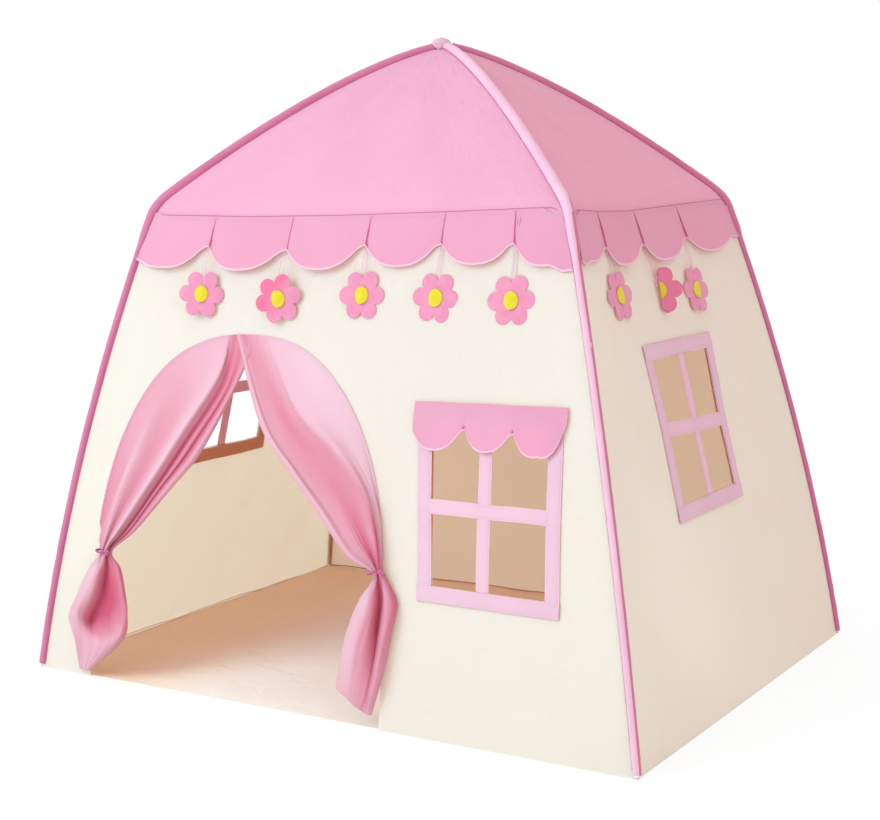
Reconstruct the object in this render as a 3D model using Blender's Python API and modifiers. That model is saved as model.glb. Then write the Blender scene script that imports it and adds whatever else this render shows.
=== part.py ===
"""Children's play tent: a fabric house on a frame of four bent corner poles.

+X runs along the front to the right, -Y is the front with the door, +Z is up.
The origin is the middle of the floor sheet's underside. All lengths are in metres.
"""
from collections import namedtuple
from math import asin, cos, pi, sin, sqrt

import bmesh
import bpy
from mathutils import Matrix, Vector

# Frame, measured along the axes of the poles
FOOT_SPAN = 1.300
FOOT_DEPTH = 1.000
EAVE_SPAN = 0.894
EAVE_DEPTH = 0.694
EAVE_HEIGHT = 0.914
PEAK_HEIGHT = 1.212
LEG_BOW = 0.018
ROOF_POWER = 1.372
BEND_REACH = 0.030

# Pipes, connectors and clearances
CLEARANCE = 0.0003
PIPE_RADIUS = 0.0060
PIPE_WALL = 0.0013
SPIGOT_LENGTH = 0.040
CONNECTOR_WALL = 0.0014
SOCKET_DEPTH = 0.032
SOCKET_STOP = 0.008
HUB_BORE_START = 0.018
HUB_SOCKET_END = 0.052
HUB_BOSS_RADIUS = 0.0125
HUB_BOSS_HEIGHT = 0.0172
CAP_RADIUS = 0.0175
CAP_HEIGHT = 0.0090
OVERRUN = 0.020

# Cloth of the walls, the roof and the pockets round the poles
CLOTH = 0.0012
SLEEVE_WALL = 0.0008
FOOT_SKIN = 0.0050
FOOT_TIP = 0.0060
FOOT_EDGE = 0.0030
FOOT_ROUND = 0.0120
FOOT_TIP_share = 0.70
FOOT_EDGE_share = 0.93
SLEEVE_TAPER_START = 0.085
SLEEVE_TAPER_END = 0.062
SEAM_DROP = 0.021
SLEEVE_GAP_AT_PEAK = 0.024
FLOOR_CORNER_CUT = 0.014

# Eave valances, measured down the slope from the seam
VALANCE_LAP = 0.004
VALANCE_STANDOFF = 0.0008
VALANCE_NOTCH = 0.057
VALANCE_DEPTH = 0.097
FRONT_NOTCHES_share = (0.188, 0.378, 0.550, 0.715, 0.867)
SIDE_NOTCHES_share = (0.185, 0.405, 0.655)

# Flowers that hang from the eave on threads
FLOWER_DROP = 0.142
PETAL_OFFSET = 0.0300
PETAL_RADIUS = 0.0156
PETALS = 6
FELT = 0.0030
DISC_RADIUS = 0.0150
DISC_RAISE = 0.0020
THREAD_RADIUS = 0.0010

# Door arch in the front wall
DOOR_PLACE_share = -0.1423
DOOR_WIDTH = 0.686
DOOR_TOP_GAP = 0.217
ARCH_SIDE_POWER = 2.3
ARCH_TOP_POWER = 3.0

# Windows: places along the walls are shares of the floor's sides
FRONT_WINDOW_PLACE_share = 0.2669
FRONT_WINDOW_LEVEL = 0.409
FRONT_WINDOW_WIDTH = 0.282
FRONT_WINDOW_HEIGHT = 0.345
RIGHT_WINDOW_PLACE_share = -0.035
LEFT_WINDOW_PLACE_share = 0.0
SIDE_WINDOW_LEVEL = 0.511
SIDE_WINDOW_WIDTH = 0.304
SIDE_WINDOW_HEIGHT = 0.310
FRAME_STRIP = 0.027
MUNTIN = 0.025
AWNING_OVERHANG = 0.010
AWNING_NOTCH = 0.046
AWNING_DEPTH = 0.079
AWNING_NOTCHES_share = (0.33, 0.67)

# Door curtains: sewn along the arch, and tied back at a neck beside each door edge
CURTAIN_LAP = 0.008
CURTAIN_CLOTH = 0.0020
CURTAIN_FOLDS = 3
FOLD_HEIGHT = 0.0150
FOLD_GROWTH = 2.2
CURTAIN_SPREAD_POWER = 0.8
CURTAIN_GATHER_POWER = 3
CURTAIN_SAG = 0.016
CURTAIN_RISE = 0.035
LEFT_TIE_INSET = 0.043
LEFT_TIE_HEIGHT = 0.252
RIGHT_TIE_INSET = 0.025
RIGHT_TIE_HEIGHT = 0.272
NECK_WIDTH = 0.034
NECK_THICKNESS = 0.0180
NECK_STANDOFF = 0.0026
TIE_WIDTH = 0.0100
TIE_CLOTH = 0.0009

# Curtain tails, the free ends below the ties. An outline is a list of pairs: the share
# of the way down, and the share of the tail's width from the neck's middle. The left
# tail's width is a share of the room on the floor between its neck and the corner.
TAIL_BULGE = 0.040
TAIL_FOLDS = 2
TAIL_GROOVE_share = 0.35
TAIL_END_share = 0.35
TAIL_ROUND_POWER = 0.7
TAIL_GATHER_POWER = 4
TAIL_FLOOR_GAP = 0.012
LEFT_TAIL_SPREAD_share = 0.9015
LEFT_TAIL_LEFT_shares = ((0, -0.12), (0.18, -0.33), (0.4, -0.53), (0.6, -0.7), (0.8, -0.62), (1, -0.5))
LEFT_TAIL_RIGHT_shares = ((0, 0.12), (0.18, 0.22), (0.4, 0.29), (0.6, 0.29), (0.8, 0.15), (1, -0.27))
RIGHT_TAIL_WIDTH = 0.100
RIGHT_TAIL_LEFT_shares = ((0, -0.17), (0.18, -0.42), (0.45, -0.6), (0.7, -0.7), (0.86, -0.66), (1, 0))
RIGHT_TAIL_RIGHT_shares = ((0, 0.17), (0.18, 0.48), (0.45, 0.42), (0.7, 0.3), (0.86, 0.18), (1, 0.09))

# Counts that set how finely round shapes are cut into faces
BEVEL_STEPS = 3
TUBE_SIDES = 4 + 2 * BEVEL_STEPS
LEG_STEPS = 5
BEND_STEPS = 3
ROOF_STEPS = 7
ARC_STEPS = 6
CAP_STEPS = 14
RING_STEPS = 20
CURTAIN_ROWS = 10
COLUMNS_PER_FOLD = 7
TAIL_ROWS = 10
TAIL_COLUMNS = 12
BUNCHING_POWER = 1.5

# Sizes that follow from the ones above
FACET_share = cos(pi / TUBE_SIDES)
WELD = CLEARANCE / 30
BORE_RADIUS = (PIPE_RADIUS + CLEARANCE) / FACET_share
CONNECTOR_RADIUS = BORE_RADIUS + CONNECTOR_WALL
LEG_SLEEVE_RADIUS = BORE_RADIUS + SLEEVE_WALL
ROOF_SLEEVE_RADIUS = (CONNECTOR_RADIUS + CLEARANCE) / FACET_share + SLEEVE_WALL
PIPE_BORE = PIPE_RADIUS - PIPE_WALL
SPIGOT_RADIUS = PIPE_BORE * FACET_share - CLEARANCE
SEAM_HEIGHT = EAVE_HEIGHT - SEAM_DROP
HALF_DIAGONAL = sqrt((EAVE_SPAN / 2) ** 2 + (EAVE_DEPTH / 2) ** 2)
DOOR_CENTRE = FOOT_SPAN * DOOR_PLACE_share
DOOR_HEIGHT = SEAM_HEIGHT - DOOR_TOP_GAP
LEFT_NECK = (DOOR_CENTRE - DOOR_WIDTH / 2 + LEFT_TIE_INSET, LEFT_TIE_HEIGHT)
RIGHT_NECK = (DOOR_CENTRE + DOOR_WIDTH / 2 - RIGHT_TIE_INSET, RIGHT_TIE_HEIGHT)
TIE_REACH = TIE_WIDTH / 2 + TIE_CLOTH + CLEARANCE
PETAL_ARC = pi / PETALS + asin(PETAL_OFFSET * sin(pi / PETALS) / PETAL_RADIUS)

SIDES = ("front", "right", "back", "left")
CORNERS = {"front_left": (-1, -1), "front_right": (1, -1), "back_right": (1, 1), "back_left": (-1, 1)}
NOTCHES = {"front": FRONT_NOTCHES_share, "back": FRONT_NOTCHES_share,
           "right": SIDE_NOTCHES_share, "left": SIDE_NOTCHES_share}
Window = namedtuple("Window", "along level width height")
WINDOWS = {
    "front": Window(FOOT_SPAN * FRONT_WINDOW_PLACE_share, FRONT_WINDOW_LEVEL,
                    FRONT_WINDOW_WIDTH, FRONT_WINDOW_HEIGHT),
    "right": Window(FOOT_DEPTH * RIGHT_WINDOW_PLACE_share, SIDE_WINDOW_LEVEL,
                    SIDE_WINDOW_WIDTH, SIDE_WINDOW_HEIGHT),
    "left": Window(FOOT_DEPTH * LEFT_WINDOW_PLACE_share, SIDE_WINDOW_LEVEL,
                   SIDE_WINDOW_WIDTH, SIDE_WINDOW_HEIGHT),
}

for existing in list(bpy.data.objects):
    bpy.data.objects.remove(existing, do_unlink=True)

tent = bpy.data.collections.new("kids_play_tent")
cutters = bpy.data.collections.new("cutters")
bpy.context.scene.collection.children.link(tent)
bpy.context.scene.collection.children.link(cutters)


def material(name, colour, roughness, metallic=0.0):
    made = bpy.data.materials.new(name)
    made.use_nodes = True
    shader = made.node_tree.nodes["Principled BSDF"]
    shader.inputs["Base Color"].default_value = (*colour, 1.0)
    shader.inputs["Roughness"].default_value = roughness
    shader.inputs["Metallic"].default_value = metallic
    made.diffuse_color = (*colour, 1.0)
    return made


WHITE_CLOTH = material("white_cloth", (0.90, 0.88, 0.82), 0.85)
ROOF_CLOTH = material("pink_roof_cloth", (0.90, 0.50, 0.62), 0.70)
VALANCE_CLOTH = material("pink_valance_cloth", (0.90, 0.44, 0.60), 0.75)
SLEEVE_CLOTH = material("deep_pink_sleeve_cloth", (0.62, 0.16, 0.30), 0.70)
CURTAIN_SATIN = material("pink_curtain_satin", (0.88, 0.36, 0.50), 0.45)
FRAME_TAPE = material("pink_window_tape", (0.86, 0.45, 0.62), 0.80)
FLOWER_FELT = material("pink_felt", (0.84, 0.27, 0.42), 0.95)
PIPE_PLASTIC = material("white_pipe_plastic", (0.85, 0.85, 0.84), 0.40)
CONNECTOR_PLASTIC = material("grey_connector_plastic", (0.35, 0.35, 0.36), 0.45)
FLOOR_CLOTH = material("floor_cloth", (0.80, 0.62, 0.50), 0.85)


def add_object(name, mesh, surface, collection=tent):
    made = bpy.data.objects.new(name, mesh)
    collection.objects.link(made)
    mesh.materials.clear()
    mesh.materials.append(surface)
    return made


def shade(mesh, angle=pi / 6):
    mesh.shade_smooth()
    mesh.set_sharp_from_angle(angle=angle)


def add_cutter(cutter):
    cutter.hide_render = True
    cutter.display_type = "WIRE"
    return cutter


def boolean(target, tool, operation="DIFFERENCE"):
    step = target.modifiers.new(operation.lower(), "BOOLEAN")
    step.operation = operation
    step.solver = "EXACT"
    step.object = tool


def mesh_from(source, name):
    """The evaluated shape of an object as a welded mesh with its faces outwards."""
    bpy.context.view_layer.update()
    evaluated = source.evaluated_get(bpy.context.evaluated_depsgraph_get())
    mesh = bpy.data.meshes.new_from_object(evaluated)
    mesh.name = name
    work = bmesh.new()
    work.from_mesh(mesh)
    bmesh.ops.remove_doubles(work, verts=work.verts, dist=WELD)
    bmesh.ops.recalc_face_normals(work, faces=work.faces)
    work.to_mesh(mesh)
    work.free()
    return mesh


def mesh_from_curve(data, name):
    """A curve's solid shape as a welded mesh."""
    source = bpy.data.objects.new(name + "_curve", data)
    cutters.objects.link(source)
    mesh = mesh_from(source, name)
    bpy.data.objects.remove(source, do_unlink=True)
    return mesh


def tube(name, points, radii, surface, collection=tent):
    """A round bar through the points, with its own radius at each of them."""
    data = bpy.data.curves.new(name, "CURVE")
    data.dimensions = "3D"
    data.bevel_depth = radii[0]
    data.bevel_resolution = BEVEL_STEPS
    data.render_resolution_u = 0
    data.use_fill_caps = True
    line = data.splines.new("POLY")
    line.points.add(len(points) - 1)
    for knot, place, radius in zip(line.points, points, radii):
        knot.co = (*place, 1.0)
        knot.radius = radius / radii[0]
    mesh = mesh_from_curve(data, name)
    shade(mesh)
    return add_object(name, mesh, surface, collection)


def plate(name, outline, thickness, surface, collection=tent, matrix=None):
    """A flat piece cut to an outline in its own XY plane, centred on its thickness."""
    data = bpy.data.curves.new(name, "CURVE")
    data.dimensions = "2D"
    data.fill_mode = "BOTH"
    data.extrude = thickness / 2
    data.render_resolution_u = 0
    line = data.splines.new("POLY")
    line.points.add(len(outline) - 1)
    for knot, place in zip(line.points, outline):
        knot.co = (place[0], place[1], 0.0, 1.0)
    line.use_cyclic_u = True
    made = add_object(name, mesh_from_curve(data, name), surface, collection)
    if matrix is not None:
        made.matrix_world = matrix
    return made


def block(name, middle, half_size):
    """A box-shaped cutter round its middle."""
    mesh = bpy.data.meshes.new(name)
    work = bmesh.new()
    matrix = Matrix.LocRotScale(Vector(middle), None, 2 * Vector(half_size))
    bmesh.ops.create_cube(work, size=1.0, matrix=matrix)
    work.to_mesh(mesh)
    work.free()
    return add_cutter(add_object(name, mesh, WHITE_CLOTH, cutters))


# The corner path: every pole, sleeve and cloth edge follows the same line.
# It is held for the corner at +X and +Y, from the foot up to the middle of the peak.

def leg_point(share):
    bow = LEG_BOW * 4 * share * (1 - share)
    x = FOOT_SPAN / 2 * (1 - share) + EAVE_SPAN / 2 * share + bow
    y = FOOT_DEPTH / 2 * (1 - share) + EAVE_DEPTH / 2 * share + bow
    return Vector((x, y, EAVE_HEIGHT * share))


def ridge_point(share):
    fall = (PEAK_HEIGHT - EAVE_HEIGHT) * share ** ROOF_POWER
    return Vector((EAVE_SPAN / 2 * share, EAVE_DEPTH / 2 * share, PEAK_HEIGHT - fall))


def corner_path():
    """The path's points and the number of the point at the eave seam."""
    taper_start = (EAVE_HEIGHT - SLEEVE_TAPER_START) / EAVE_HEIGHT
    taper_end = (EAVE_HEIGHT - SLEEVE_TAPER_END) / EAVE_HEIGHT
    path = [leg_point(taper_start * k / LEG_STEPS) for k in range(LEG_STEPS + 1)]
    path.append(leg_point(taper_end))
    path.append(leg_point(SEAM_HEIGHT / EAVE_HEIGHT))
    seam = len(path) - 1
    bend_share = 1 - BEND_REACH / HALF_DIAGONAL
    start, middle, end = path[-1], leg_point(1.0), ridge_point(bend_share)
    for k in range(1, BEND_STEPS + 1):
        t = k / BEND_STEPS
        path.append(start * (1 - t) ** 2 + middle * 2 * t * (1 - t) + end * t ** 2)
    last_share = SLEEVE_GAP_AT_PEAK / HALF_DIAGONAL
    for k in range(1, ROOF_STEPS):
        spread = (1 - k / (ROOF_STEPS - 1)) ** BUNCHING_POWER
        path.append(ridge_point(last_share + (bend_share - last_share) * spread))
    path.append(ridge_point(0.0))
    return path, seam


PATH, SEAM = corner_path()
SLEEVE_TOP = len(PATH) - 2
LENGTHS = [0.0]
for before, after in zip(PATH, PATH[1:]):
    LENGTHS.append(LENGTHS[-1] + (after - before).length)
BEND_LENGTH = (LENGTHS[SEAM + 1] + LENGTHS[SEAM + 2]) / 2


def sleeve_radius(number):
    return LEG_SLEEVE_RADIUS if number <= LEG_STEPS else ROOF_SLEEVE_RADIUS


def at_length(length):
    """The point of the path at a length along it, which may run past its ends."""
    number = 0
    while number < len(PATH) - 2 and LENGTHS[number + 1] < length:
        number += 1
    share = (length - LENGTHS[number]) / (LENGTHS[number + 1] - LENGTHS[number])
    return PATH[number].lerp(PATH[number + 1], share)


def stretch(start, end, corner):
    """The path between two lengths, moved to one corner."""
    marks = [start] + [mark for mark in LENGTHS if start < mark < end] + [end]
    return [at_length(mark) * Vector((*corner, 1.0)) for mark in marks]


def path_tube(name, start, end, radius, corner, surface, collection=tent):
    points = stretch(start, end, corner)
    return tube(name, points, [radius] * len(points), surface, collection)


def path_bore(name, start, end, radius, corner):
    """A round cutter along the path between two lengths."""
    return add_cutter(path_tube(name, start, end, radius, corner, PIPE_PLASTIC, cutters))


# Rows: places on the corner path that a cloth panel's edges follow.

Row = namedtuple("Row", "x y z x_margin y_margin front_normal side_normal")


def make_row(position, tangent, radius):
    """A margin is how far a panel's edge stays from the pole's axis, across the panel."""
    edge = (radius + CLEARANCE) * tangent.length
    x_margin = edge / Vector((0, tangent.y, tangent.z)).length
    y_margin = edge / Vector((tangent.x, 0, tangent.z)).length
    front = Vector((tangent.z, -tangent.y)).normalized()
    side = Vector((tangent.z, -tangent.x)).normalized()
    return Row(position.x, position.y, position.z, x_margin, y_margin, front, side)


def path_row(number):
    before = PATH[max(number - 1, 0)]
    after = PATH[min(number + 1, len(PATH) - 1)]
    return make_row(PATH[number], after - before, sleeve_radius(number))


def wall_row(height):
    """A row of the wall at any height up to the seam."""
    for number in range(SEAM + 1):
        if abs(PATH[number].z - height) < WELD:
            return path_row(number)
    number = 0
    while PATH[number + 1].z < height:
        number += 1
    low, high = PATH[number], PATH[number + 1]
    share = (height - low.z) / (high.z - low.z)
    radius = sleeve_radius(number) * (1 - share) + sleeve_radius(number + 1) * share
    return make_row(low.lerp(high, share), high - low, radius)


def wall_rows(bottom, top):
    heights = [point.z for point in PATH[: SEAM + 1] if bottom < point.z < top]
    return [wall_row(height) for height in [bottom, *heights, top]]


def reach(row, side):
    """How far a panel of this side runs each way from its middle."""
    return row.x - row.x_margin if side in ("front", "back") else row.y - row.y_margin


def on_side(side, along, row, lift=0.0):
    """A point on a side's outer face: along runs to the right, seen from outside."""
    if side in ("front", "back"):
        out = row.y + row.front_normal[0] * lift
        up = row.z + row.front_normal[1] * lift
        return Vector((along, -out, up)) if side == "front" else Vector((-along, out, up))
    out = row.x + row.side_normal[0] * lift
    up = row.z + row.side_normal[1] * lift
    return Vector((out, along, up)) if side == "right" else Vector((-out, -along, up))


def side_frame(side, along, row, lift):
    """A frame on a side: X along the wall, Y up its slope, Z out of its face."""
    lower = wall_row(row.z - VALANCE_DEPTH)
    up = (on_side(side, along, row) - on_side(side, along, lower)).normalized()
    across = {"front": (1, 0, 0), "right": (0, 1, 0), "back": (-1, 0, 0), "left": (0, -1, 0)}[side]
    across = Vector(across)
    out = across.cross(up)
    turn = Matrix((across, up, out)).transposed().to_4x4()
    return Matrix.Translation(on_side(side, along, row) + out * lift) @ turn


def grid_faces(rows, columns, place):
    """A grid of faces. Each point keeps its row and column, which give its place."""
    work = bmesh.new()
    bmesh.ops.create_grid(work, x_segments=columns, y_segments=rows, size=0.5)
    row_of = work.verts.layers.int.new("row")
    column_of = work.verts.layers.int.new("column")
    for point in work.verts:
        point[row_of] = round((point.co.y + 0.5) * rows)
        point[column_of] = round((point.co.x + 0.5) * columns)
        point.co = place(point[row_of], point[column_of])
    return work


def cloth_panel(name, side, rows, surface, span=None, lift=0.0, outward=False):
    """A sheet of cloth on one side, between its sleeves or over a span of its own."""
    def place(number, column):
        row = rows[number]
        low, high = span or (-reach(row, side), reach(row, side))
        return on_side(side, high if column else low, row, lift)

    work = grid_faces(len(rows) - 1, 1, place)
    bmesh.ops.recalc_face_normals(work, faces=work.faces)
    face = max(work.faces, key=lambda f: f.calc_area())
    outside = face.calc_center_median() * Vector((1, 1, 0))
    if face.normal.dot(outside) < 0:
        bmesh.ops.reverse_faces(work, faces=work.faces)
    mesh = bpy.data.meshes.new(name)
    work.to_mesh(mesh)
    work.free()
    made = add_object(name, mesh, surface)
    solid = made.modifiers.new("cloth", "SOLIDIFY")
    solid.thickness = CLOTH
    solid.offset = 1.0 if outward else -1.0
    solid.use_even_offset = True
    return made


# Frame of pipes

def leg_pipes(corner_name, corner):
    """A leg of two pipes: the lower one ends in a spigot inside the upper one."""
    turn = Vector((*corner, 1.0))
    foot = FOOT_SKIN + CLEARANCE
    top = BEND_LENGTH - SOCKET_STOP - CLEARANCE
    joint = (foot + top) / 2
    points = stretch(foot, joint, corner)
    radii = [PIPE_RADIUS] * len(points) + [SPIGOT_RADIUS] * 2
    points.append(at_length(joint + CLEARANCE) * turn)
    points.append(at_length(joint + SPIGOT_LENGTH) * turn)
    tube(f"leg_pipe_lower_{corner_name}", points, radii, PIPE_PLASTIC)
    upper = path_tube(f"leg_pipe_upper_{corner_name}", joint + 2 * CLEARANCE, top, PIPE_RADIUS,
                      corner, PIPE_PLASTIC)
    boolean(upper, path_bore(f"upper_pipe_bore_{corner_name}", joint - OVERRUN, top + OVERRUN,
                             PIPE_BORE, corner))


def elbow(corner_name, corner):
    """The bent connector in the eave, with a blind socket for each pipe."""
    low_stop = BEND_LENGTH - SOCKET_STOP
    high_stop = BEND_LENGTH + SOCKET_STOP
    low = low_stop - SOCKET_DEPTH
    high = high_stop + SOCKET_DEPTH
    made = path_tube(f"eave_elbow_{corner_name}", low, high, CONNECTOR_RADIUS, corner, CONNECTOR_PLASTIC)
    for end, mouth, stop in (("lower", low - OVERRUN, low_stop), ("upper", high + OVERRUN, high_stop)):
        boolean(made, path_bore(f"elbow_{end}_bore_{corner_name}", min(mouth, stop), max(mouth, stop),
                                BORE_RADIUS, corner))


def roof_pipe(corner_name, corner):
    start = BEND_LENGTH + SOCKET_STOP + CLEARANCE
    end = LENGTHS[-1] - HUB_BORE_START - CLEARANCE
    made = path_tube(f"roof_pipe_{corner_name}", start, end, PIPE_RADIUS, corner, PIPE_PLASTIC)
    boolean(made, path_bore(f"roof_pipe_bore_{corner_name}", start - OVERRUN / 4, end + OVERRUN / 4,
                            PIPE_BORE, corner))


def peak_hub():
    """A cross of four sockets round a boss."""
    work = bmesh.new()
    bmesh.ops.create_cone(work, cap_ends=True, segments=2 * TUBE_SIDES, radius1=HUB_BOSS_RADIUS,
                          radius2=HUB_BOSS_RADIUS, depth=HUB_BOSS_HEIGHT,
                          matrix=Matrix.Translation((0, 0, PEAK_HEIGHT)))
    mesh = bpy.data.meshes.new("peak_hub")
    work.to_mesh(mesh)
    work.free()
    hub = add_object("peak_hub", mesh, CONNECTOR_PLASTIC)
    mouth = LENGTHS[-1] - HUB_SOCKET_END
    for corner_name, corner in CORNERS.items():
        socket = path_tube(f"hub_socket_{corner_name}", mouth, LENGTHS[-1] - CLEARANCE,
                           CONNECTOR_RADIUS, corner, CONNECTOR_PLASTIC, cutters)
        boolean(hub, add_cutter(socket), "UNION")
    for corner_name, corner in CORNERS.items():
        boolean(hub, path_bore(f"hub_bore_{corner_name}", mouth - OVERRUN, LENGTHS[-1] - HUB_BORE_START,
                               BORE_RADIUS, corner))


def peak_cap():
    """The small stuffed cap where the four sleeves meet."""
    base = PEAK_HEIGHT + HUB_BOSS_HEIGHT / 2 + CLEARANCE
    work = bmesh.new()
    profile = []
    for k in range(ARC_STEPS + 1):
        angle = pi / 2 * k / ARC_STEPS
        profile.append(work.verts.new((CAP_RADIUS * sin(angle), 0, base + CAP_HEIGHT * cos(angle))))
    profile.append(work.verts.new((0, 0, base)))
    for first, second in zip(profile, profile[1:]):
        work.edges.new((first, second))
    mesh = bpy.data.meshes.new("peak_cap")
    work.to_mesh(mesh)
    work.free()
    turn = add_object("peak_cap", mesh, SLEEVE_CLOTH).modifiers.new("turn", "SCREW")
    turn.steps = CAP_STEPS
    turn.render_steps = CAP_STEPS
    turn.use_merge_vertices = True
    turn.merge_threshold = WELD


def sleeve(corner_name, corner, ground):
    """A cloth pocket round one corner's poles, closed round the foot and open at the peak."""
    turn = Vector((*corner, 1.0))
    climb = [PATH[k] * turn for k in range(1, SLEEVE_TOP + 1)]
    climb_radii = [sleeve_radius(k) for k in range(1, SLEEVE_TOP + 1)]
    foot = [at_length(mark) * turn for mark in (-FOOT_TIP, FOOT_EDGE, FOOT_ROUND)]
    foot_radii = [LEG_SLEEVE_RADIUS * share for share in (FOOT_TIP_share, FOOT_EDGE_share, 1)]
    made = tube(f"pole_sleeve_{corner_name}", foot + climb, foot_radii + climb_radii, SLEEVE_CLOTH)
    start = at_length(FOOT_SKIN) * turn
    end = at_length(LENGTHS[SLEEVE_TOP] + OVERRUN / 2) * turn
    radii = [radius - SLEEVE_WALL for radius in (LEG_SLEEVE_RADIUS, *climb_radii, ROOF_SLEEVE_RADIUS)]
    bore = tube(f"sleeve_bore_{corner_name}", [start, *climb, end], radii, SLEEVE_CLOTH, cutters)
    boolean(made, add_cutter(bore))
    boolean(made, ground)


# Walls, roof, floor

def arch_point(angle, grow=0.0):
    """Half the door arch's width and its height at an angle from the floor (0) to its top."""
    half = (DOOR_WIDTH / 2 + grow) * max(cos(angle), 0.0) ** (2 / ARCH_SIDE_POWER)
    return half, (DOOR_HEIGHT + grow) * sin(angle) ** (2 / ARCH_TOP_POWER)


def door_cutter():
    steps = 3 * ARC_STEPS
    angles = [pi / 2 * (1 - (1 - k / steps) ** BUNCHING_POWER) for k in range(1, steps + 1)]
    arch = [arch_point(angle) for angle in angles]
    right = [(DOOR_CENTRE + half, height) for half, height in arch]
    left = [(DOOR_CENTRE - half, height) for half, height in reversed(arch[:-1])]
    sill = [(DOOR_CENTRE - DOOR_WIDTH / 2, -OVERRUN), (DOOR_CENTRE + DOOR_WIDTH / 2, -OVERRUN)]
    middle = Matrix.Translation((0, -(FOOT_DEPTH + EAVE_DEPTH) / 4, 0))
    made = plate("door_opening", sill + right + left, FOOT_DEPTH / 2, WHITE_CLOTH, cutters,
                 middle @ Matrix.Rotation(pi / 2, 4, "X"))
    return add_cutter(made)


def window_box(name, side, window, hole):
    """A cutter through one wall: the hole's place, height and size, at the window's depth."""
    middle = on_side(side, hole.along, wall_row(window.level))
    middle.z = hole.level
    depth = OVERRUN + window.height / 4
    half = Vector((hole.width / 2, depth, hole.height / 2))
    if side in ("left", "right"):
        half = Vector((depth, hole.width / 2, hole.height / 2))
    return block(name, middle, half)


def window_hole(side, window):
    hole = Window(window.along, window.level, window.width - 2 * FRAME_STRIP,
                  window.height - 2 * FRAME_STRIP)
    return window_box(f"window_hole_{side}", side, window, hole)


def window_frame(side, window):
    """Tape round the window, with a cross of tape that parts it into four panes."""
    rows = wall_rows(window.level - window.height / 2, window.level + window.height / 2)
    span = (window.along - window.width / 2, window.along + window.width / 2)
    made = cloth_panel(f"window_frame_{side}", side, rows, FRAME_TAPE, span, CLEARANCE, outward=True)
    width = (window.width - 2 * FRAME_STRIP - MUNTIN) / 2
    height = (window.height - 2 * FRAME_STRIP - MUNTIN) / 2
    for number, (across, up) in enumerate(((-1, -1), (1, -1), (-1, 1), (1, 1)), 1):
        along = window.along + across * (width + MUNTIN) / 2
        level = window.level + up * (height + MUNTIN) / 2
        boolean(made, window_box(f"pane_{side}_{number}", side, window, Window(along, level, width, height)))


def walls():
    made = {}
    for side in SIDES:
        rows = wall_rows(CLEARANCE, SEAM_HEIGHT - CLEARANCE)
        made[side] = cloth_panel(f"wall_{side}", side, rows, WHITE_CLOTH)
    boolean(made["front"], door_cutter())
    for side, window in WINDOWS.items():
        boolean(made[side], window_hole(side, window))
        window_frame(side, window)


def roof():
    rows = [path_row(number) for number in range(SEAM, SLEEVE_TOP + 1)]
    for side in SIDES:
        cloth_panel(f"roof_panel_{side}", side, rows, ROOF_CLOTH)


def floor_sheet():
    inset = CLOTH + 3 * CLEARANCE
    x = FOOT_SPAN / 2 - inset
    y = FOOT_DEPTH / 2 - inset
    cut = FLOOR_CORNER_CUT
    outline = [(-x + cut, -y), (x - cut, -y), (x, -y + cut), (x, y - cut),
               (x - cut, y), (-x + cut, y), (-x, y - cut), (-x, -y + cut)]
    plate("floor_sheet", outline, CLOTH, FLOOR_CLOTH, matrix=Matrix.Translation((0, 0, CLOTH / 2)))


# Scalloped strips

def scallops(ends, notch, depth):
    """The scalloped lower edge through its notches, from the last end to the first."""
    points = []
    for right, left in zip(reversed(ends[1:]), reversed(ends[:-1])):
        middle = (left + right) / 2
        half = (right - left) / 2
        for k in range(ARC_STEPS):
            angle = pi * k / ARC_STEPS
            points.append((middle + half * cos(angle), -notch - (depth - notch) * sin(angle)))
    points.append((ends[0], -notch))
    return points


def between(half, shares):
    """Places from -half to half, with those that the shares give in between."""
    return [-half, *(-half + 2 * half * share for share in shares), half]


def notch_places(side):
    """Where the valance's notches lie along a side, and its two lower ends."""
    shares = NOTCHES[side]
    if side in ("back", "left"):
        shares = [1 - share for share in reversed(shares)]
    return between(reach(wall_row(SEAM_HEIGHT - VALANCE_NOTCH), side) - VALANCE_STANDOFF, shares)


def valance(side):
    top = reach(wall_row(SEAM_HEIGHT), side) - VALANCE_LAP
    edge = scallops(notch_places(side), VALANCE_NOTCH, VALANCE_DEPTH)
    frame = side_frame(side, 0.0, wall_row(SEAM_HEIGHT), VALANCE_STANDOFF + CLOTH / 2)
    plate(f"eave_valance_{side}", [(-top, VALANCE_LAP), (top, VALANCE_LAP), *edge], CLOTH,
          VALANCE_CLOTH, matrix=frame)


def awning():
    """A short scalloped strip over the front window, free to lift from its top seam."""
    window = WINDOWS["front"]
    half = window.width / 2 + AWNING_OVERHANG
    edge = scallops(between(half, AWNING_NOTCHES_share), AWNING_NOTCH, AWNING_DEPTH)
    row = wall_row(window.level + window.height / 2 + CLEARANCE)
    frame = side_frame("front", window.along, row, CLOTH + 2 * CLEARANCE + CLOTH / 2)
    plate("window_awning", [(-half, 0.0), (half, 0.0), *edge], CLOTH, VALANCE_CLOTH, matrix=frame)


# Flowers on threads

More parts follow.
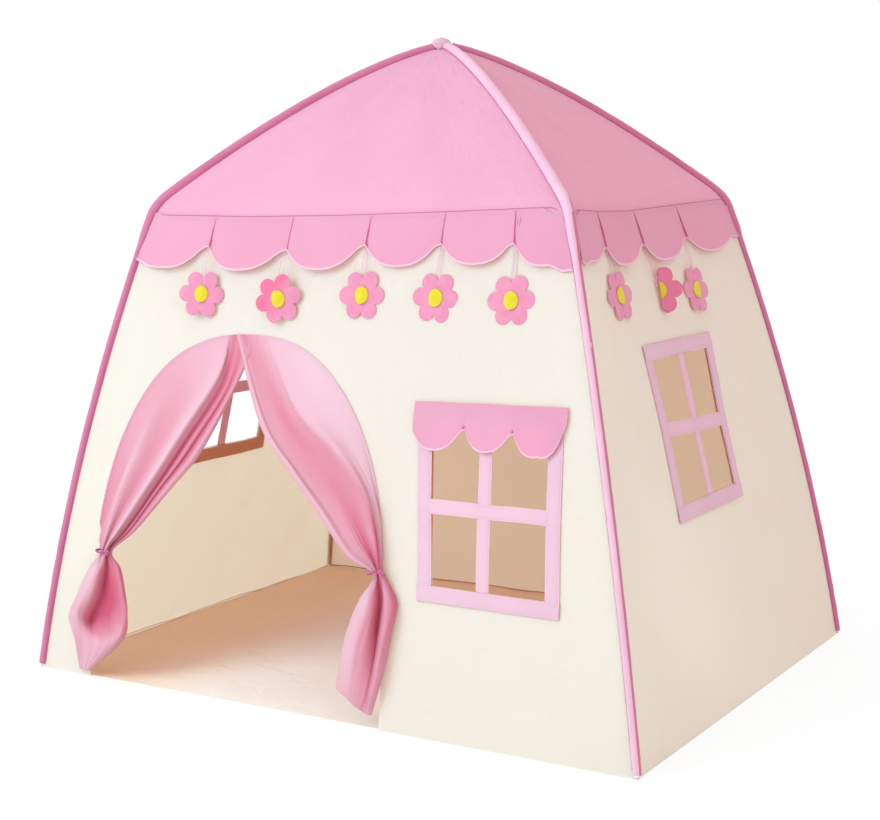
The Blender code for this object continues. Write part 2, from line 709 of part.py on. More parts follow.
def flower_mesh():
    """One felt flower with its raised middle, on the thread that it hangs from."""
    outline = []
    for petal in range(PETALS):
        facing = 2 * pi * petal / PETALS
        centre = Vector((cos(facing), sin(facing))) * PETAL_OFFSET - Vector((0, FLOWER_DROP))
        for k in range(ARC_STEPS):
            angle = facing + PETAL_ARC * (2 * k / ARC_STEPS - 1)
            outline.append(centre + Vector((cos(angle), sin(angle))) * PETAL_RADIUS)
    lift = FELT / 2 - THREAD_RADIUS - CLEARANCE / 2
    petals = plate("flower", outline, FELT, FLOWER_FELT, cutters, Matrix.Translation((0, 0, lift)))
    height = FELT / 2 + DISC_RAISE
    work = bmesh.new()
    bmesh.ops.create_cone(work, cap_ends=True, segments=2 * ARC_STEPS, radius1=DISC_RADIUS,
                          radius2=DISC_RADIUS, depth=height,
                          matrix=Matrix.Translation((0, -FLOWER_DROP, lift + height / 2)))
    disc_mesh = bpy.data.meshes.new("flower_disc")
    work.to_mesh(disc_mesh)
    work.free()
    disc = add_object("flower_disc", disc_mesh, FLOWER_FELT, cutters)
    thread = tube("flower_thread", [Vector((0, 0, 0)), Vector((0, -FLOWER_DROP, 0))],
                  [THREAD_RADIUS] * 2, FLOWER_FELT, cutters)
    boolean(petals, disc, "UNION")
    boolean(petals, thread, "UNION")
    mesh = mesh_from(petals, "hanging_flower")
    mesh.transform(petals.matrix_world)
    for helper in (petals, disc, thread):
        bpy.data.objects.remove(helper, do_unlink=True)
    return mesh


def hanging_flowers():
    mesh = flower_mesh()
    lift = VALANCE_STANDOFF + CLOTH + CLEARANCE + THREAD_RADIUS
    for side in ("front", "right", "left"):
        for number, along in enumerate(notch_places(side)[1:-1], 1):
            made = add_object(f"hanging_flower_{side}_{number}", mesh, FLOWER_FELT)
            made.matrix_world = side_frame(side, along, wall_row(SEAM_HEIGHT), lift)


# Curtains

def drape(name, rows, columns, place, surface, origin=(0, 0, 0)):
    """A closed cloth form: place(row, column, face) gives the back (0) and the front (1)."""
    work = grid_faces(rows, columns, lambda row, column: place(row, column, 0))
    row_of = work.verts.layers.int["row"]
    column_of = work.verts.layers.int["column"]
    grown = bmesh.ops.extrude_face_region(work, geom=list(work.faces))["geom"]
    for point in grown:
        if isinstance(point, bmesh.types.BMVert):
            point.co = place(point[row_of], point[column_of], 1)
    bmesh.ops.recalc_face_normals(work, faces=work.faces)
    bmesh.ops.translate(work, verts=work.verts, vec=-Vector(origin))
    mesh = bpy.data.meshes.new(name)
    work.to_mesh(mesh)
    work.free()
    shade(mesh, pi / 3)
    made = add_object(name, mesh, surface)
    made.location = origin


def wave(turns):
    """Rises from 0 to 1 and falls back once in every turn."""
    return (1 - cos(2 * pi * turns)) / 2


def neck_section(u, face):
    """The oval of gathered cloth at a neck: its place across, and its back or front lift."""
    middle = NECK_STANDOFF + NECK_THICKNESS / 2
    half = max(NECK_THICKNESS / 2 * sin(pi * u), CURTAIN_CLOTH / 4)
    return -NECK_WIDTH / 2 * cos(pi * u), middle + half * (1 if face else -1)


def curtain(name, hand, neck):
    """One curtain, sewn along its half of the arch and gathered to its neck by a tie."""
    columns = CURTAIN_FOLDS * COLUMNS_PER_FOLD
    neck_x, neck_z = neck
    low_angle = asin(((neck_z + CURTAIN_RISE) / (DOOR_HEIGHT + CURTAIN_LAP)) ** (ARCH_TOP_POWER / 2))

    def place(row, column, face):
        u = column / columns
        v = min(row / CURTAIN_ROWS, 1.0)
        across, neck_lift = neck_section(u, face)
        angle = low_angle + (pi / 2 - low_angle) * u ** CURTAIN_SPREAD_POWER
        half, height = arch_point(angle, CURTAIN_LAP)
        seam = Vector((DOOR_CENTRE + hand * half, height))
        spot = seam.lerp(Vector((neck_x - hand * across, neck_z + TIE_REACH)), v)
        spot += Vector((hand, -1)) * CURTAIN_SAG * sin(pi * v) * u
        if row > CURTAIN_ROWS:
            spot.y = neck_z - TIE_REACH
        relief = CURTAIN_CLOTH + FOLD_HEIGHT * wave(CURTAIN_FOLDS * u) * min(1.0, FOLD_GROWTH * v)
        flat = 2 * CLEARANCE + (relief if face else 0.0)
        gather = v ** CURTAIN_GATHER_POWER
        return on_side("front", spot.x, wall_row(spot.y), flat * (1 - gather) + neck_lift * gather)

    drape(name, CURTAIN_ROWS + 1, columns, place, CURTAIN_SATIN)


def from_table(table, share):
    for (low, first), (high, second) in zip(table, table[1:]):
        if share <= high:
            return first + (second - first) * (share - low) / (high - low)
    return table[-1][1]


def tail(name, neck, width, left_table, right_table):
    """The free end of a curtain below its tie, which can swing out from the tie."""
    neck_x, neck_z = neck
    top = neck_z - TIE_REACH - CLEARANCE
    hinge = on_side("front", neck_x, wall_row(top), NECK_STANDOFF + NECK_THICKNESS)

    def place(row, column, face):
        u = column / TAIL_COLUMNS
        v = row / TAIL_ROWS
        across, neck_lift = neck_section(u, face)
        left = neck_x + width * from_table(left_table, v)
        right = neck_x + width * from_table(right_table, v)
        gather = (1 - v) ** TAIL_GATHER_POWER
        along = (left + (right - left) * wave(u / 2)) * (1 - gather) + (neck_x + across) * gather
        level = top - (top - TAIL_FLOOR_GAP) * v
        groove = 1 - TAIL_GROOVE_share * wave(TAIL_FOLDS * u)
        fullness = TAIL_END_share + (1 - TAIL_END_share) * sin(pi * v)
        swell = CURTAIN_CLOTH + TAIL_BULGE * sin(pi * u) ** TAIL_ROUND_POWER * groove * fullness
        flat = NECK_STANDOFF + (swell if face else 0.0)
        return on_side("front", along, wall_row(level), flat * (1 - gather) + neck_lift * gather)

    drape(name, TAIL_ROWS, TAIL_COLUMNS, place, CURTAIN_SATIN, hinge)


def tie_back(name, neck):
    """A band of cloth round a curtain's neck."""
    neck_x, neck_z = neck
    wide = (NECK_WIDTH / 2 + 2 * CLEARANCE) / cos(pi / RING_STEPS) + TIE_CLOTH
    deep = (NECK_THICKNESS / 2 + 2 * CLEARANCE) / cos(pi / RING_STEPS) + TIE_CLOTH
    data = bpy.data.curves.new(name, "CURVE")
    data.dimensions = "3D"
    data.extrude = TIE_WIDTH / 2
    data.bevel_depth = TIE_CLOTH
    data.bevel_resolution = 0
    data.render_resolution_u = 0
    line = data.splines.new("POLY")
    line.points.add(RING_STEPS - 1)
    for k, knot in enumerate(line.points):
        angle = 2 * pi * k / RING_STEPS
        knot.co = (wide * cos(angle), deep * sin(angle), 0.0, 1.0)
    line.use_cyclic_u = True
    made = add_object(name, mesh_from_curve(data, name), SLEEVE_CLOTH)
    frame = side_frame("front", neck_x, wall_row(neck_z), NECK_STANDOFF + NECK_THICKNESS / 2)
    made.matrix_world = frame @ Matrix.Rotation(pi / 2, 4, "X")


ground = block("ground", (0, 0, -OVERRUN), (FOOT_SPAN, FOOT_DEPTH, OVERRUN))
for corner_name, corner in CORNERS.items():
    leg_pipes(corner_name, corner)
    elbow(corner_name, corner)
    roof_pipe(corner_name, corner)
    sleeve(corner_name, corner, ground)
peak_hub()
peak_cap()
walls()
roof()
floor_sheet()
for side in SIDES:
    valance(side)
awning()
hanging_flowers()
curtain("curtain_left", -1, LEFT_NECK)
curtain("curtain_right", 1, RIGHT_NECK)
left_tail_width = (reach(wall_row(TAIL_FLOOR_GAP), "front") + LEFT_NECK[0]) * LEFT_TAIL_SPREAD_share
tail("curtain_tail_left", LEFT_NECK, left_tail_width, LEFT_TAIL_LEFT_shares, LEFT_TAIL_RIGHT_shares)
tail("curtain_tail_right", RIGHT_NECK, RIGHT_TAIL_WIDTH, RIGHT_TAIL_LEFT_shares, RIGHT_TAIL_RIGHT_shares)
tie_back("curtain_tie_left", LEFT_NECK)
tie_back("curtain_tie_right", RIGHT_NECK)
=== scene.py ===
# %% [markdown]
# # A children's play tent
#
# The tent is a cloth house on a frame of thin pipes. The frame is already modelled and
# packed, so this lesson only dresses it: every pocket, wall, tape and curtain of cloth is
# made here as a sheet that follows the same pole lines, and then gets its finish.

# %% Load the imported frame
from math import asin, cos, hypot, pi, radians, sin, sqrt

import bpy
from mathutils import Matrix, Vector, noise


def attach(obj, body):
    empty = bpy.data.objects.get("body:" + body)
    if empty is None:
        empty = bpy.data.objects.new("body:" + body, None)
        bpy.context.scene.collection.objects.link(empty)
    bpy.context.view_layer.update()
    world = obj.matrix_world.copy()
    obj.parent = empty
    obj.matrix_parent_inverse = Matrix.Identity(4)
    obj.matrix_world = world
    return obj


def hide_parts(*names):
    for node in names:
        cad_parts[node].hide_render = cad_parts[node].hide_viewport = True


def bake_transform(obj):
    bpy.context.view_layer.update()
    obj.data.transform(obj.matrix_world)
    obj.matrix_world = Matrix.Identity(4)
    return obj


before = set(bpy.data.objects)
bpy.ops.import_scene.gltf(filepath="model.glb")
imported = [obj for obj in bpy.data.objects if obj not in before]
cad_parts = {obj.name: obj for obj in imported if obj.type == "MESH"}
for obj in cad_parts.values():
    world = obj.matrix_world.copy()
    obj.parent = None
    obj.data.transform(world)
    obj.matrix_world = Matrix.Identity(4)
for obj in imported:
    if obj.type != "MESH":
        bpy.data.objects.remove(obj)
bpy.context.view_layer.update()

# %% [markdown]
# ## The view
#
# A camera could be aimed at the tent by eye. Here its place and its three turns were worked
# out from the corners of the real tent, so that the model can be laid over its photograph.

# %% Camera
CAMERA_PLACE = Vector((1.7508, -2.9153, 0.9762))
CAMERA_YAW = 0.5453
CAMERA_PITCH = 0.1402
CAMERA_ROLL = -0.0104
LENS = 69.92
SENSOR = 36.0


def camera_turn(yaw, pitch, roll):
    """The camera's turn in the form that Blender takes, from its yaw, pitch and roll in radians."""
    ahead = Vector((-sin(yaw) * cos(pitch), cos(yaw) * cos(pitch), -sin(pitch)))
    right = ahead.cross(Vector((0, 0, 1))).normalized()
    up = right.cross(ahead)
    right, up = right * cos(roll) + up * sin(roll), up * cos(roll) - right * sin(roll)
    return Matrix((right, up, -ahead)).transposed().to_euler()


bpy.ops.object.camera_add(location=CAMERA_PLACE,
                          rotation=camera_turn(CAMERA_YAW, CAMERA_PITCH, CAMERA_ROLL))
camera = bpy.context.active_object
camera.name = "camera"
camera.data.lens = LENS
camera.data.sensor_width = SENSOR
bpy.context.scene.camera = camera
bpy.context.scene.view_settings.view_transform = "Standard"
print("camera at", [round(value, 3) for value in camera.location])

# %% [markdown]
# ## Materials from nodes
#
# A node tree can be built by hand in the shader editor. In code it is the same job: add a
# node, set its values, and draw the links. Short helpers do all three, and what more than
# one material needs is kept in a group, so that each cloth only sets its own values.

# %% Helpers for node trees


def ink(red, green, blue):
    """A colour as a screen shows it, 0 to 255, turned into the light values that nodes use."""
    values = [value / 255 for value in (red, green, blue)]
    return (*[v / 12.92 if v <= 0.04045 else ((v + 0.055) / 1.055) ** 2.4 for v in values], 1.0)


def feed(tree, node, inputs):
    """Set a node's inputs to values, or link them to sockets."""
    for label, value in inputs.items():
        if isinstance(value, bpy.types.NodeSocket):
            tree.links.new(value, node.inputs[label])
        else:
            node.inputs[label].default_value = value
    return node


def add(tree, kind, inputs=None, **settings):
    """A new node, with its settings and its inputs."""
    made = tree.nodes.new("ShaderNode" + kind)
    for name, value in settings.items():
        setattr(made, name, value)
    return feed(tree, made, inputs or {})


def add_group(tree, name, inputs):
    """A shared group, placed in a material with its own inputs."""
    made = tree.nodes.new("ShaderNodeGroup")
    made.node_tree = bpy.data.node_groups[name]
    return feed(tree, made, inputs)


def empty_tree(owner):
    """The node tree of a material or a world, with nothing in it."""
    owner.use_nodes = True
    owner.node_tree.nodes.clear()
    return owner.node_tree


def start_group(name, inputs, outputs):
    """An empty group: inputs are (name, socket type, value), outputs are (name, socket type)."""
    group = bpy.data.node_groups.new(name, "ShaderNodeTree")
    for label, kind, value in inputs:
        socket = group.interface.new_socket(label, in_out="INPUT", socket_type="NodeSocket" + kind)
        if value is not None:
            socket.default_value = value
    for label, kind in outputs:
        group.interface.new_socket(label, in_out="OUTPUT", socket_type="NodeSocket" + kind)
    given = group.nodes.new("NodeGroupInput").outputs
    return group, given, group.nodes.new("NodeGroupOutput").inputs


def math(tree, operation, first, second=0.0):
    """A sum on values, such as ADD or SINE, worked out at each point of the surface."""
    return add(tree, "Math", {0: first, 1: second}, operation=operation).outputs[0]


# %% [markdown]
# Plain weave is one thread over, one thread under, both ways. Two sine waves multiplied give
# just that chequer of high and low spots, in the cloth's own UV map, which is in metres.
# A second group spreads a slow change of tone, and a third gives the fine crumple of thin
# cloth. A photograph of cloth would also do, but it repeats and can't be scaled so freely.

# %% Groups that the cloths share
group, given, out = start_group(
    "weave",
    [("Vector", "Vector", None), ("Pitch", "Float", 0.0012), ("Uneven", "Float", 0.3)],
    [("Height", "Float")],
)
split = add(group, "SeparateXYZ", {0: given["Vector"]})
turns = math(group, "DIVIDE", pi, given["Pitch"])
warp = math(group, "SINE", math(group, "MULTIPLY", split.outputs[0], turns))
weft = math(group, "SINE", math(group, "MULTIPLY", split.outputs[1], turns))
chequer = math(group, "MULTIPLY", warp, weft)
slubs = add(group, "TexNoise", {"Vector": given["Vector"], "Scale": 260.0, "Detail": 2.0})
rough = math(group, "MULTIPLY", slubs.outputs["Fac"], given["Uneven"])
group.links.new(math(group, "ADD", chequer, rough), out["Height"])

group, given, out = start_group(
    "tone",
    [("Vector", "Vector", None), ("Colour", "Color", (1, 1, 1, 1)),
     ("Shade", "Color", (0, 0, 0, 1)), ("Scale", "Float", 6.0), ("Amount", "Float", 0.3)],
    [("Colour", "Color"), ("Mask", "Float")],
)
clouds = add(group, "TexNoise",
             {"Vector": given["Vector"], "Scale": given["Scale"], "Detail": 3.0})
spread = add(group, "MapRange", {0: clouds.outputs["Fac"], 1: 0.35, 2: 0.7, 3: 0.0, 4: 1.0})
mask = math(group, "MULTIPLY", spread.outputs[0], given["Amount"])
mixed = add(group, "Mix", {0: mask, 6: given["Colour"], 7: given["Shade"]},
            data_type="RGBA")
group.links.new(mixed.outputs[2], out["Colour"])
group.links.new(mask, out["Mask"])

group, given, out = start_group(
    "crumple",
    [("Vector", "Vector", None), ("Scale", "Float", 14.0)],
    [("Height", "Float")],
)
wrinkles = add(group, "TexNoise", {"Vector": given["Vector"], "Scale": given["Scale"],
                                   "Detail": 2.0, "Distortion": 0.8})
middle = math(group, "SUBTRACT", wrinkles.outputs["Fac"], 0.5)
ridges = math(group, "ABSOLUTE", middle)
sharp = math(group, "MULTIPLY", ridges, 0.8)
group.links.new(math(group, "SUBTRACT", wrinkles.outputs["Fac"], sharp), out["Height"])
print("groups:", [made.name for made in bpy.data.node_groups])

# %% [markdown]
# Thin tent cloth lets light through: from inside, its walls glow. A Translucent shader mixed
# into the Principled one does that. Sheen gives the soft pale edge that fibres have.

# %% Cloth materials
CRUMPLE_DEPTH, WEAVE_DEPTH = 0.004, 0.0003
CRUMPLE_SCALE = 16.0
TONE_AMOUNT = 0.6


def cloth(name, colour, shade, pitch=0.0012, glow=0.4, roughness=0.85, sheen=0.2,
          through=None, crumple=0.5, tone_scale=6.0, weave=0.35, coordinates="UV", deep=None):
    """A woven cloth: colour and shade set its tones, and glow how much light comes through it.

    A cloth with a deep colour takes it as painted shade where the sheet's own "fold" attribute is high.
    """
    material = bpy.data.materials.new(name)
    tree = empty_tree(material)
    place = add(tree, "TexCoord").outputs[coordinates]
    tone = add_group(tree, "tone", {"Vector": place, "Colour": colour, "Shade": shade,
                                    "Scale": tone_scale, "Amount": TONE_AMOUNT})
    face_colour = tone.outputs[0]
    if deep is not None:
        # The deep colour is painted shade, laid on where the fold attribute is high.
        fold = add(tree, "Attribute", attribute_name="fold")
        mixed = add(tree, "Mix", {0: fold.outputs["Fac"], 6: face_colour, 7: deep},
                    data_type="RGBA")
        face_colour = mixed.outputs[2]
    threads = add_group(tree, "weave", {"Vector": place, "Pitch": pitch})
    folds = add_group(tree, "crumple", {"Vector": place, "Scale": CRUMPLE_SCALE})
    soft = add(tree, "Bump", {"Strength": crumple, "Distance": CRUMPLE_DEPTH,
                              "Height": folds.outputs[0]})
    fine = add(tree, "Bump", {"Strength": weave, "Distance": WEAVE_DEPTH,
                              "Height": threads.outputs[0], "Normal": soft.outputs[0]})
    face = add(tree, "BsdfPrincipled", {"Base Color": face_colour, "Roughness": roughness,
                                        "Sheen Weight": sheen, "Sheen Roughness": 0.5,
                                        "Specular IOR Level": 0.25, "Normal": fine.outputs[0]})
    light = add(tree, "BsdfTranslucent", {"Color": through or colour, "Normal": fine.outputs[0]})
    both = add(tree, "MixShader", {0: glow, 1: face.outputs[0], 2: light.outputs[0]})
    add(tree, "OutputMaterial", {0: both.outputs[0]})
    return material


WHITE_CLOTH = cloth("white_cloth", ink(248, 251, 255), ink(246, 248, 251),
                    through=ink(253, 252, 248), glow=0.66)
# The inner face is a warmer copy of the white cloth, as painted shade; its deep colour is a deeper
# painted shade on the back wall.
INNER_CLOTH_PAINTED_SHADE = cloth("white_cloth_inside_painted_shade", ink(252, 235, 208), ink(250, 228, 196),
                    through=ink(253, 245, 228), glow=0.56, deep=ink(228, 165, 108))
ROOF_CLOTH = cloth("pink_roof_cloth", ink(244, 196, 221), ink(240, 187, 214),
                   through=ink(250, 145, 170), glow=0.45)
# The valance's deep colour is painted shade in the slits beside the notches of the valances and the
# awning.
VALANCE_CLOTH = cloth("pink_valance_cloth", ink(236, 174, 199), ink(232, 161, 190), glow=0.35,
                      through=ink(252, 105, 142), deep=ink(200, 78, 132))
# The hem is paler where its cloth lies double, and as a painted highlight.
VALANCE_HEM_HIGHLIGHT = cloth("pink_valance_hem_painted_highlight", ink(250, 206, 226), ink(246, 192, 216), glow=0.3,
                    through=ink(245, 130, 165))
SLEEVE_CLOTH = cloth("deep_pink_sleeve_cloth", ink(208, 116, 150), ink(192, 98, 136), glow=0.12)
# A paler copy of the pocket cloth, which is painted light.
PALE_SLEEVE_PAINTED_LIGHT = cloth("pale_pink_sleeve_cloth_painted_light", ink(234, 182, 202), ink(226, 164, 188), glow=0.12)
PIPING_CLOTH = cloth("deep_pink_piping", ink(200, 100, 140), ink(184, 80, 122), glow=0.1,
                     coordinates="Object")
# The satin's deep colour is painted shade in the curtains' folds.
SATIN = cloth("pink_curtain_satin", ink(231, 186, 199), ink(229, 175, 190), pitch=0.0008,
              glow=0.25, roughness=0.42, sheen=0.3, through=ink(240, 130, 165), crumple=0.25,
              weave=0.15, deep=ink(210, 78, 112))
TAPE = cloth("pink_window_tape", ink(242, 202, 218), ink(237, 188, 208), glow=0.3, pitch=0.0016,
             through=ink(236, 95, 135))
# The backing's orange-brown is painted shade of the tape seen through the wall from inside.
BACKING_PAINTED_SHADE = cloth("window_backing", ink(238, 172, 138), ink(226, 152, 118), glow=0.3,
                through=ink(240, 150, 110))
# The felt's deep colour is painted shade on one flower and on the folded half of another.
FELT = cloth("pink_felt", ink(226, 140, 168), ink(218, 122, 154), glow=0.05, pitch=0.0009,
             weave=0.8, tone_scale=60.0, coordinates="Object", deep=ink(230, 108, 144))
YELLOW_FELT = cloth("yellow_felt", ink(224, 200, 44), ink(208, 178, 30), glow=0.05, weave=0.8,
                    tone_scale=60.0, coordinates="Object")
# The floor's deep colour is painted shade towards the left and the back.
FLOOR_CLOTH = cloth("floor_cloth", ink(252, 238, 229), ink(250, 230, 220), glow=0.05,
                    deep=ink(253, 213, 176))
THREAD = cloth("pink_thread", ink(232, 182, 204), ink(214, 150, 180), glow=0.05,
               coordinates="Object")
SEAM_CLOTH = cloth("brown_seam_binding", ink(214, 142, 104), ink(196, 116, 84), glow=0.05,
                   coordinates="Object")
print("cloths:", len(bpy.data.materials))

# %% [markdown]
# ## Plastic of the pipes
#
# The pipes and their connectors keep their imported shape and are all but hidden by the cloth.
# They are moulded plastic: a smooth shell with a faint grain, a little duller in places.

# %% Plastic materials
GRAIN_DEPTH = 0.0002
WEAR = 0.2


def plastic(name, colour, shade, roughness):
    """A moulded plastic with a fine grain, duller where its tone is darker."""
    material = bpy.data.materials.new(name)
    tree = empty_tree(material)
    place = add(tree, "TexCoord").outputs["Object"]
    tone = add_group(tree, "tone", {"Vector": place, "Colour": colour, "Shade": shade,
                                    "Scale": 40.0, "Amount": 0.4})
    grain = add(tree, "TexNoise", {"Vector": place, "Scale": 900.0})
    bump = add(tree, "Bump", {"Strength": 0.1, "Distance": GRAIN_DEPTH,
                              "Height": grain.outputs["Fac"]})
    worn = add(tree, "MapRange", {0: tone.outputs["Mask"], 3: roughness, 4: roughness + WEAR})
    shader = add(tree, "BsdfPrincipled", {"Base Color": tone.outputs[0],
                                          "Roughness": worn.outputs[0],
                                          "Normal": bump.outputs[0]})
    add(tree, "OutputMaterial", {0: shader.outputs[0]})
    return material


PIPE_PLASTIC = plastic("white_pipe_plastic", ink(236, 236, 234), ink(205, 203, 198), 0.4)
CONNECTOR_PLASTIC = plastic("grey_connector_plastic", ink(92, 92, 96), ink(70, 70, 72), 0.5)
frame_nodes = {name: node for name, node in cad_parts.items()
               if "pipe" in name or "elbow" in name or "hub" in name}
for name, node in frame_nodes.items():
    node.data.materials.clear()
    node.data.materials.append(PIPE_PLASTIC if "pipe" in name else CONNECTOR_PLASTIC)
print("pipes and connectors:", len(frame_nodes))

# %% [markdown]
# ## Light and floor
#
# The tent stands in a plain white studio. One large soft lamp in front makes the door side
# the brightest, and the white surroundings fill the rest. The lamp is a little cooler than
# the surroundings, as daylight beside warm walls is. The floor adds light of its own
# for the camera alone, so that it stays white and still holds the tent's soft shadow.

# %% Studio
FLOOR_SIZE = 14.0
FLOOR_GLOW_share = 0.80
KEY_PLACE, KEY_AIM = Vector((-2.6, -4.2, 3.2)), Vector((0, 0, 0.5))
KEY_SIZE = 3.0
KEY_POWER = 200.0
KEY_COLOUR = (0.60, 0.92, 1.0)
SKY_LIGHT = 1.08


def seen_directly(tree):
    """1 for rays from the camera, or that a shiny or clear surface passes on."""
    path = add(tree, "LightPath")
    either = math(tree, "MAXIMUM", path.outputs["Is Camera Ray"], path.outputs["Is Glossy Ray"])
    return math(tree, "MAXIMUM", either, path.outputs["Is Transmission Ray"])


bpy.ops.mesh.primitive_plane_add(size=FLOOR_SIZE)
floor = bpy.context.active_object
floor.name = "studio_floor"
floor_material = bpy.data.materials.new("studio_floor")
tree = empty_tree(floor_material)
paper = add(tree, "BsdfDiffuse", {"Color": ink(250, 250, 250)})
bright = add(tree, "Emission", {"Color": (1, 1, 1, 1), "Strength": 1.0})
share = math(tree, "MULTIPLY", seen_directly(tree), FLOOR_GLOW_share)
mixed = add(tree, "MixShader", {0: share, 1: paper.outputs[0], 2: bright.outputs[0]})
add(tree, "OutputMaterial", {0: mixed.outputs[0]})
floor.data.materials.append(floor_material)

world = bpy.data.worlds.new("studio")
bpy.context.scene.world = world
tree = empty_tree(world)
white = add(tree, "Background", {"Color": (1, 1, 1, 1), "Strength": 1.0})
soft = add(tree, "Background", {"Color": (1, 1, 1, 1), "Strength": SKY_LIGHT})
mixed = add(tree, "MixShader", {0: seen_directly(tree), 1: soft.outputs[0], 2: white.outputs[0]})
add(tree, "OutputWorld", {0: mixed.outputs[0]})

aim = (KEY_AIM - KEY_PLACE).to_track_quat("-Z", "Y").to_euler()
bpy.ops.object.light_add(type="AREA", location=KEY_PLACE, rotation=aim)
key = bpy.context.active_object
key.name = "key_lamp"
key.data.energy = KEY_POWER
key.data.color = KEY_COLOUR
key.data.size = KEY_SIZE
print("key lamp", key.data.energy, "W")

# %% [markdown]
# ## One line for four poles
#
# Every piece of cloth hangs on four poles that are bent at the eave. So the cloth could be
# drawn piece by piece, or, as here, worked out from one curved line: the leg, a short bend,
# and the ridge up to the peak. A wall or a roof face is that line, stretched from one corner
# to the next.

# %% The pole line
FOOT_SPAN, FOOT_DEPTH = 1.300, 1.000
EAVE_SPAN, EAVE_DEPTH = 0.894, 0.694
EAVE_HEIGHT, PEAK_HEIGHT = 0.914, 1.212
LEG_BOW = 0.018
ROOF_POWER = 1.372
BEND_REACH = 0.030
SEAM_HEIGHT = 0.893
GAP = 0.0003
LEG_SLEEVE, ROOF_SLEEVE = 0.0074, 0.0095
SLEEVE_GROWS_FROM, SLEEVE_GROWS_TO = 0.829, 0.852
CLOTH_THICKNESS = 0.0012


def smooth(value):
    """A soft step: 0 below 0, 1 above 1, and an S curve between them."""
    value = min(1.0, max(0.0, value))
    return value * value * (3 - 2 * value)


def table_value(table, share):
    """A value between the pairs of a table, along straight runs."""
    for (low, first), (high, second) in zip(table, table[1:]):
        if share <= high:
            return first + (second - first) * (share - low) / (high - low)
    return table[-1][1]


def leg(height):
    """The pole's place across and along at a height up to the eave."""
    share = height / EAVE_HEIGHT
    bow = LEG_BOW * 4 * share * (1 - share)
    return (FOOT_SPAN / 2 * (1 - share) + EAVE_SPAN / 2 * share + bow,
            FOOT_DEPTH / 2 * (1 - share) + EAVE_DEPTH / 2 * share + bow)


def ridge(share):
    """The ridge from the peak (0) to the eave (1)."""
    fall = (PEAK_HEIGHT - EAVE_HEIGHT) * max(share, 0.0) ** ROOF_POWER
    return Vector((EAVE_SPAN / 2 * share, EAVE_DEPTH / 2 * share, PEAK_HEIGHT - fall))


RIDGE_REACH = hypot(EAVE_SPAN / 2, EAVE_DEPTH / 2)
BEND_END = 1 - BEND_REACH / RIDGE_REACH
BEND_PART = 0.08
PEAK_GAP = 0.024
PEAK_GAP_share = PEAK_GAP / RIDGE_REACH


def crown(share, top=PEAK_GAP_share):
    """The pole line above the seam: 0 at the seam, 1 at the last point below the peak."""
    if share < BEND_PART:
        t = share / BEND_PART
        start, middle = (Vector((*leg(height), height)) for height in (SEAM_HEIGHT, EAVE_HEIGHT))
        return start * (1 - t) ** 2 + middle * 2 * t * (1 - t) + ridge(BEND_END) * t ** 2
    t = (share - BEND_PART) / (1 - BEND_PART)
    return ridge(BEND_END + (top - BEND_END) * t)


def sleeve_radius(height):
    """The pocket round a pole is wider on the roof than on the leg."""
    grown = smooth((height - SLEEVE_GROWS_FROM) / (SLEEVE_GROWS_TO - SLEEVE_GROWS_FROM))
    return LEG_SLEEVE + (ROOF_SLEEVE - LEG_SLEEVE) * grown


print("ridge length", round((crown(1) - crown(0)).length, 3))

# %% [markdown]
# ## Where a wall's cloth lies
#
# Each side has a direction across it and one out of it. Real cloth isn't flat between its
# poles: it is a little too wide, so it falls inwards in soft hollows, and the eave seam
# sags in the middle. One function holds all of that, and whatever is sewn on the wall asks
# the same function for its place, so that tapes, valances and curtains follow the hollows.

# %% The walls' surface
SIDES = {
    "front": (Vector((1, 0, 0)), Vector((0, -1, 0))),
    "right": (Vector((0, 1, 0)), Vector((1, 0, 0))),
    "back": (Vector((-1, 0, 0)), Vector((0, 1, 0))),
    "left": (Vector((0, -1, 0)), Vector((-1, 0, 0))),
}
UP = Vector((0, 0, 1))
SEAM_SAG = {"back": 0.009, "left": 0.013}
# How far the eave seam lies below its height at the corners, from the left corner (-1) to the
# right one (1): the roof is pulled on unevenly, so the seam climbs towards one side.
SEAM_LINES = {
    "front": ((-1, 0), (-0.96, 0.004), (-0.5, 0.006), (-0.05, 0.003), (0.5, -0.005), (0.8, -0.0105),
              (0.95, -0.013), (1, 0)),
    "right": ((-1, 0), (-0.95, -0.008), (-0.7, -0.003), (-0.38, -0.001), (0.2, -0.006), (0.6, -0.010),
              (0.93, -0.013), (1, 0)),
}
SLACK_SEED = {"front": 2.3, "right": 7.1, "back": 11.9, "left": 17.3}
SLACK_DEPTH = 0.007
SLACK_FADE = 0.11
SLACK_MEAN, NARROW_SLACK = 0.55, 0.45
BROAD_FOLDS_ALONG, BROAD_FOLDS_UP = 3.4, 2.6


def is_long(side):
    return side in ("front", "back")


def wall_depth(side, height):
    """How far a wall's face is from the tent's middle."""
    x, y = leg(height)
    return y if is_long(side) else x


def wall_half(side, height):
    """Half of the wall's width between its two pole pockets."""
    x, y = leg(height)
    return (x if is_long(side) else y) - sleeve_radius(height) - GAP


def seam_height(side, along):
    """The height of the eave seam at a place along its side."""
    share = max(-1.0, min(1.0, along / wall_half(side, SEAM_HEIGHT)))
    if side in SEAM_LINES:
        return SEAM_HEIGHT - table_value(SEAM_LINES[side], share)
    return SEAM_HEIGHT - SEAM_SAG[side] * (1 - share ** 2)


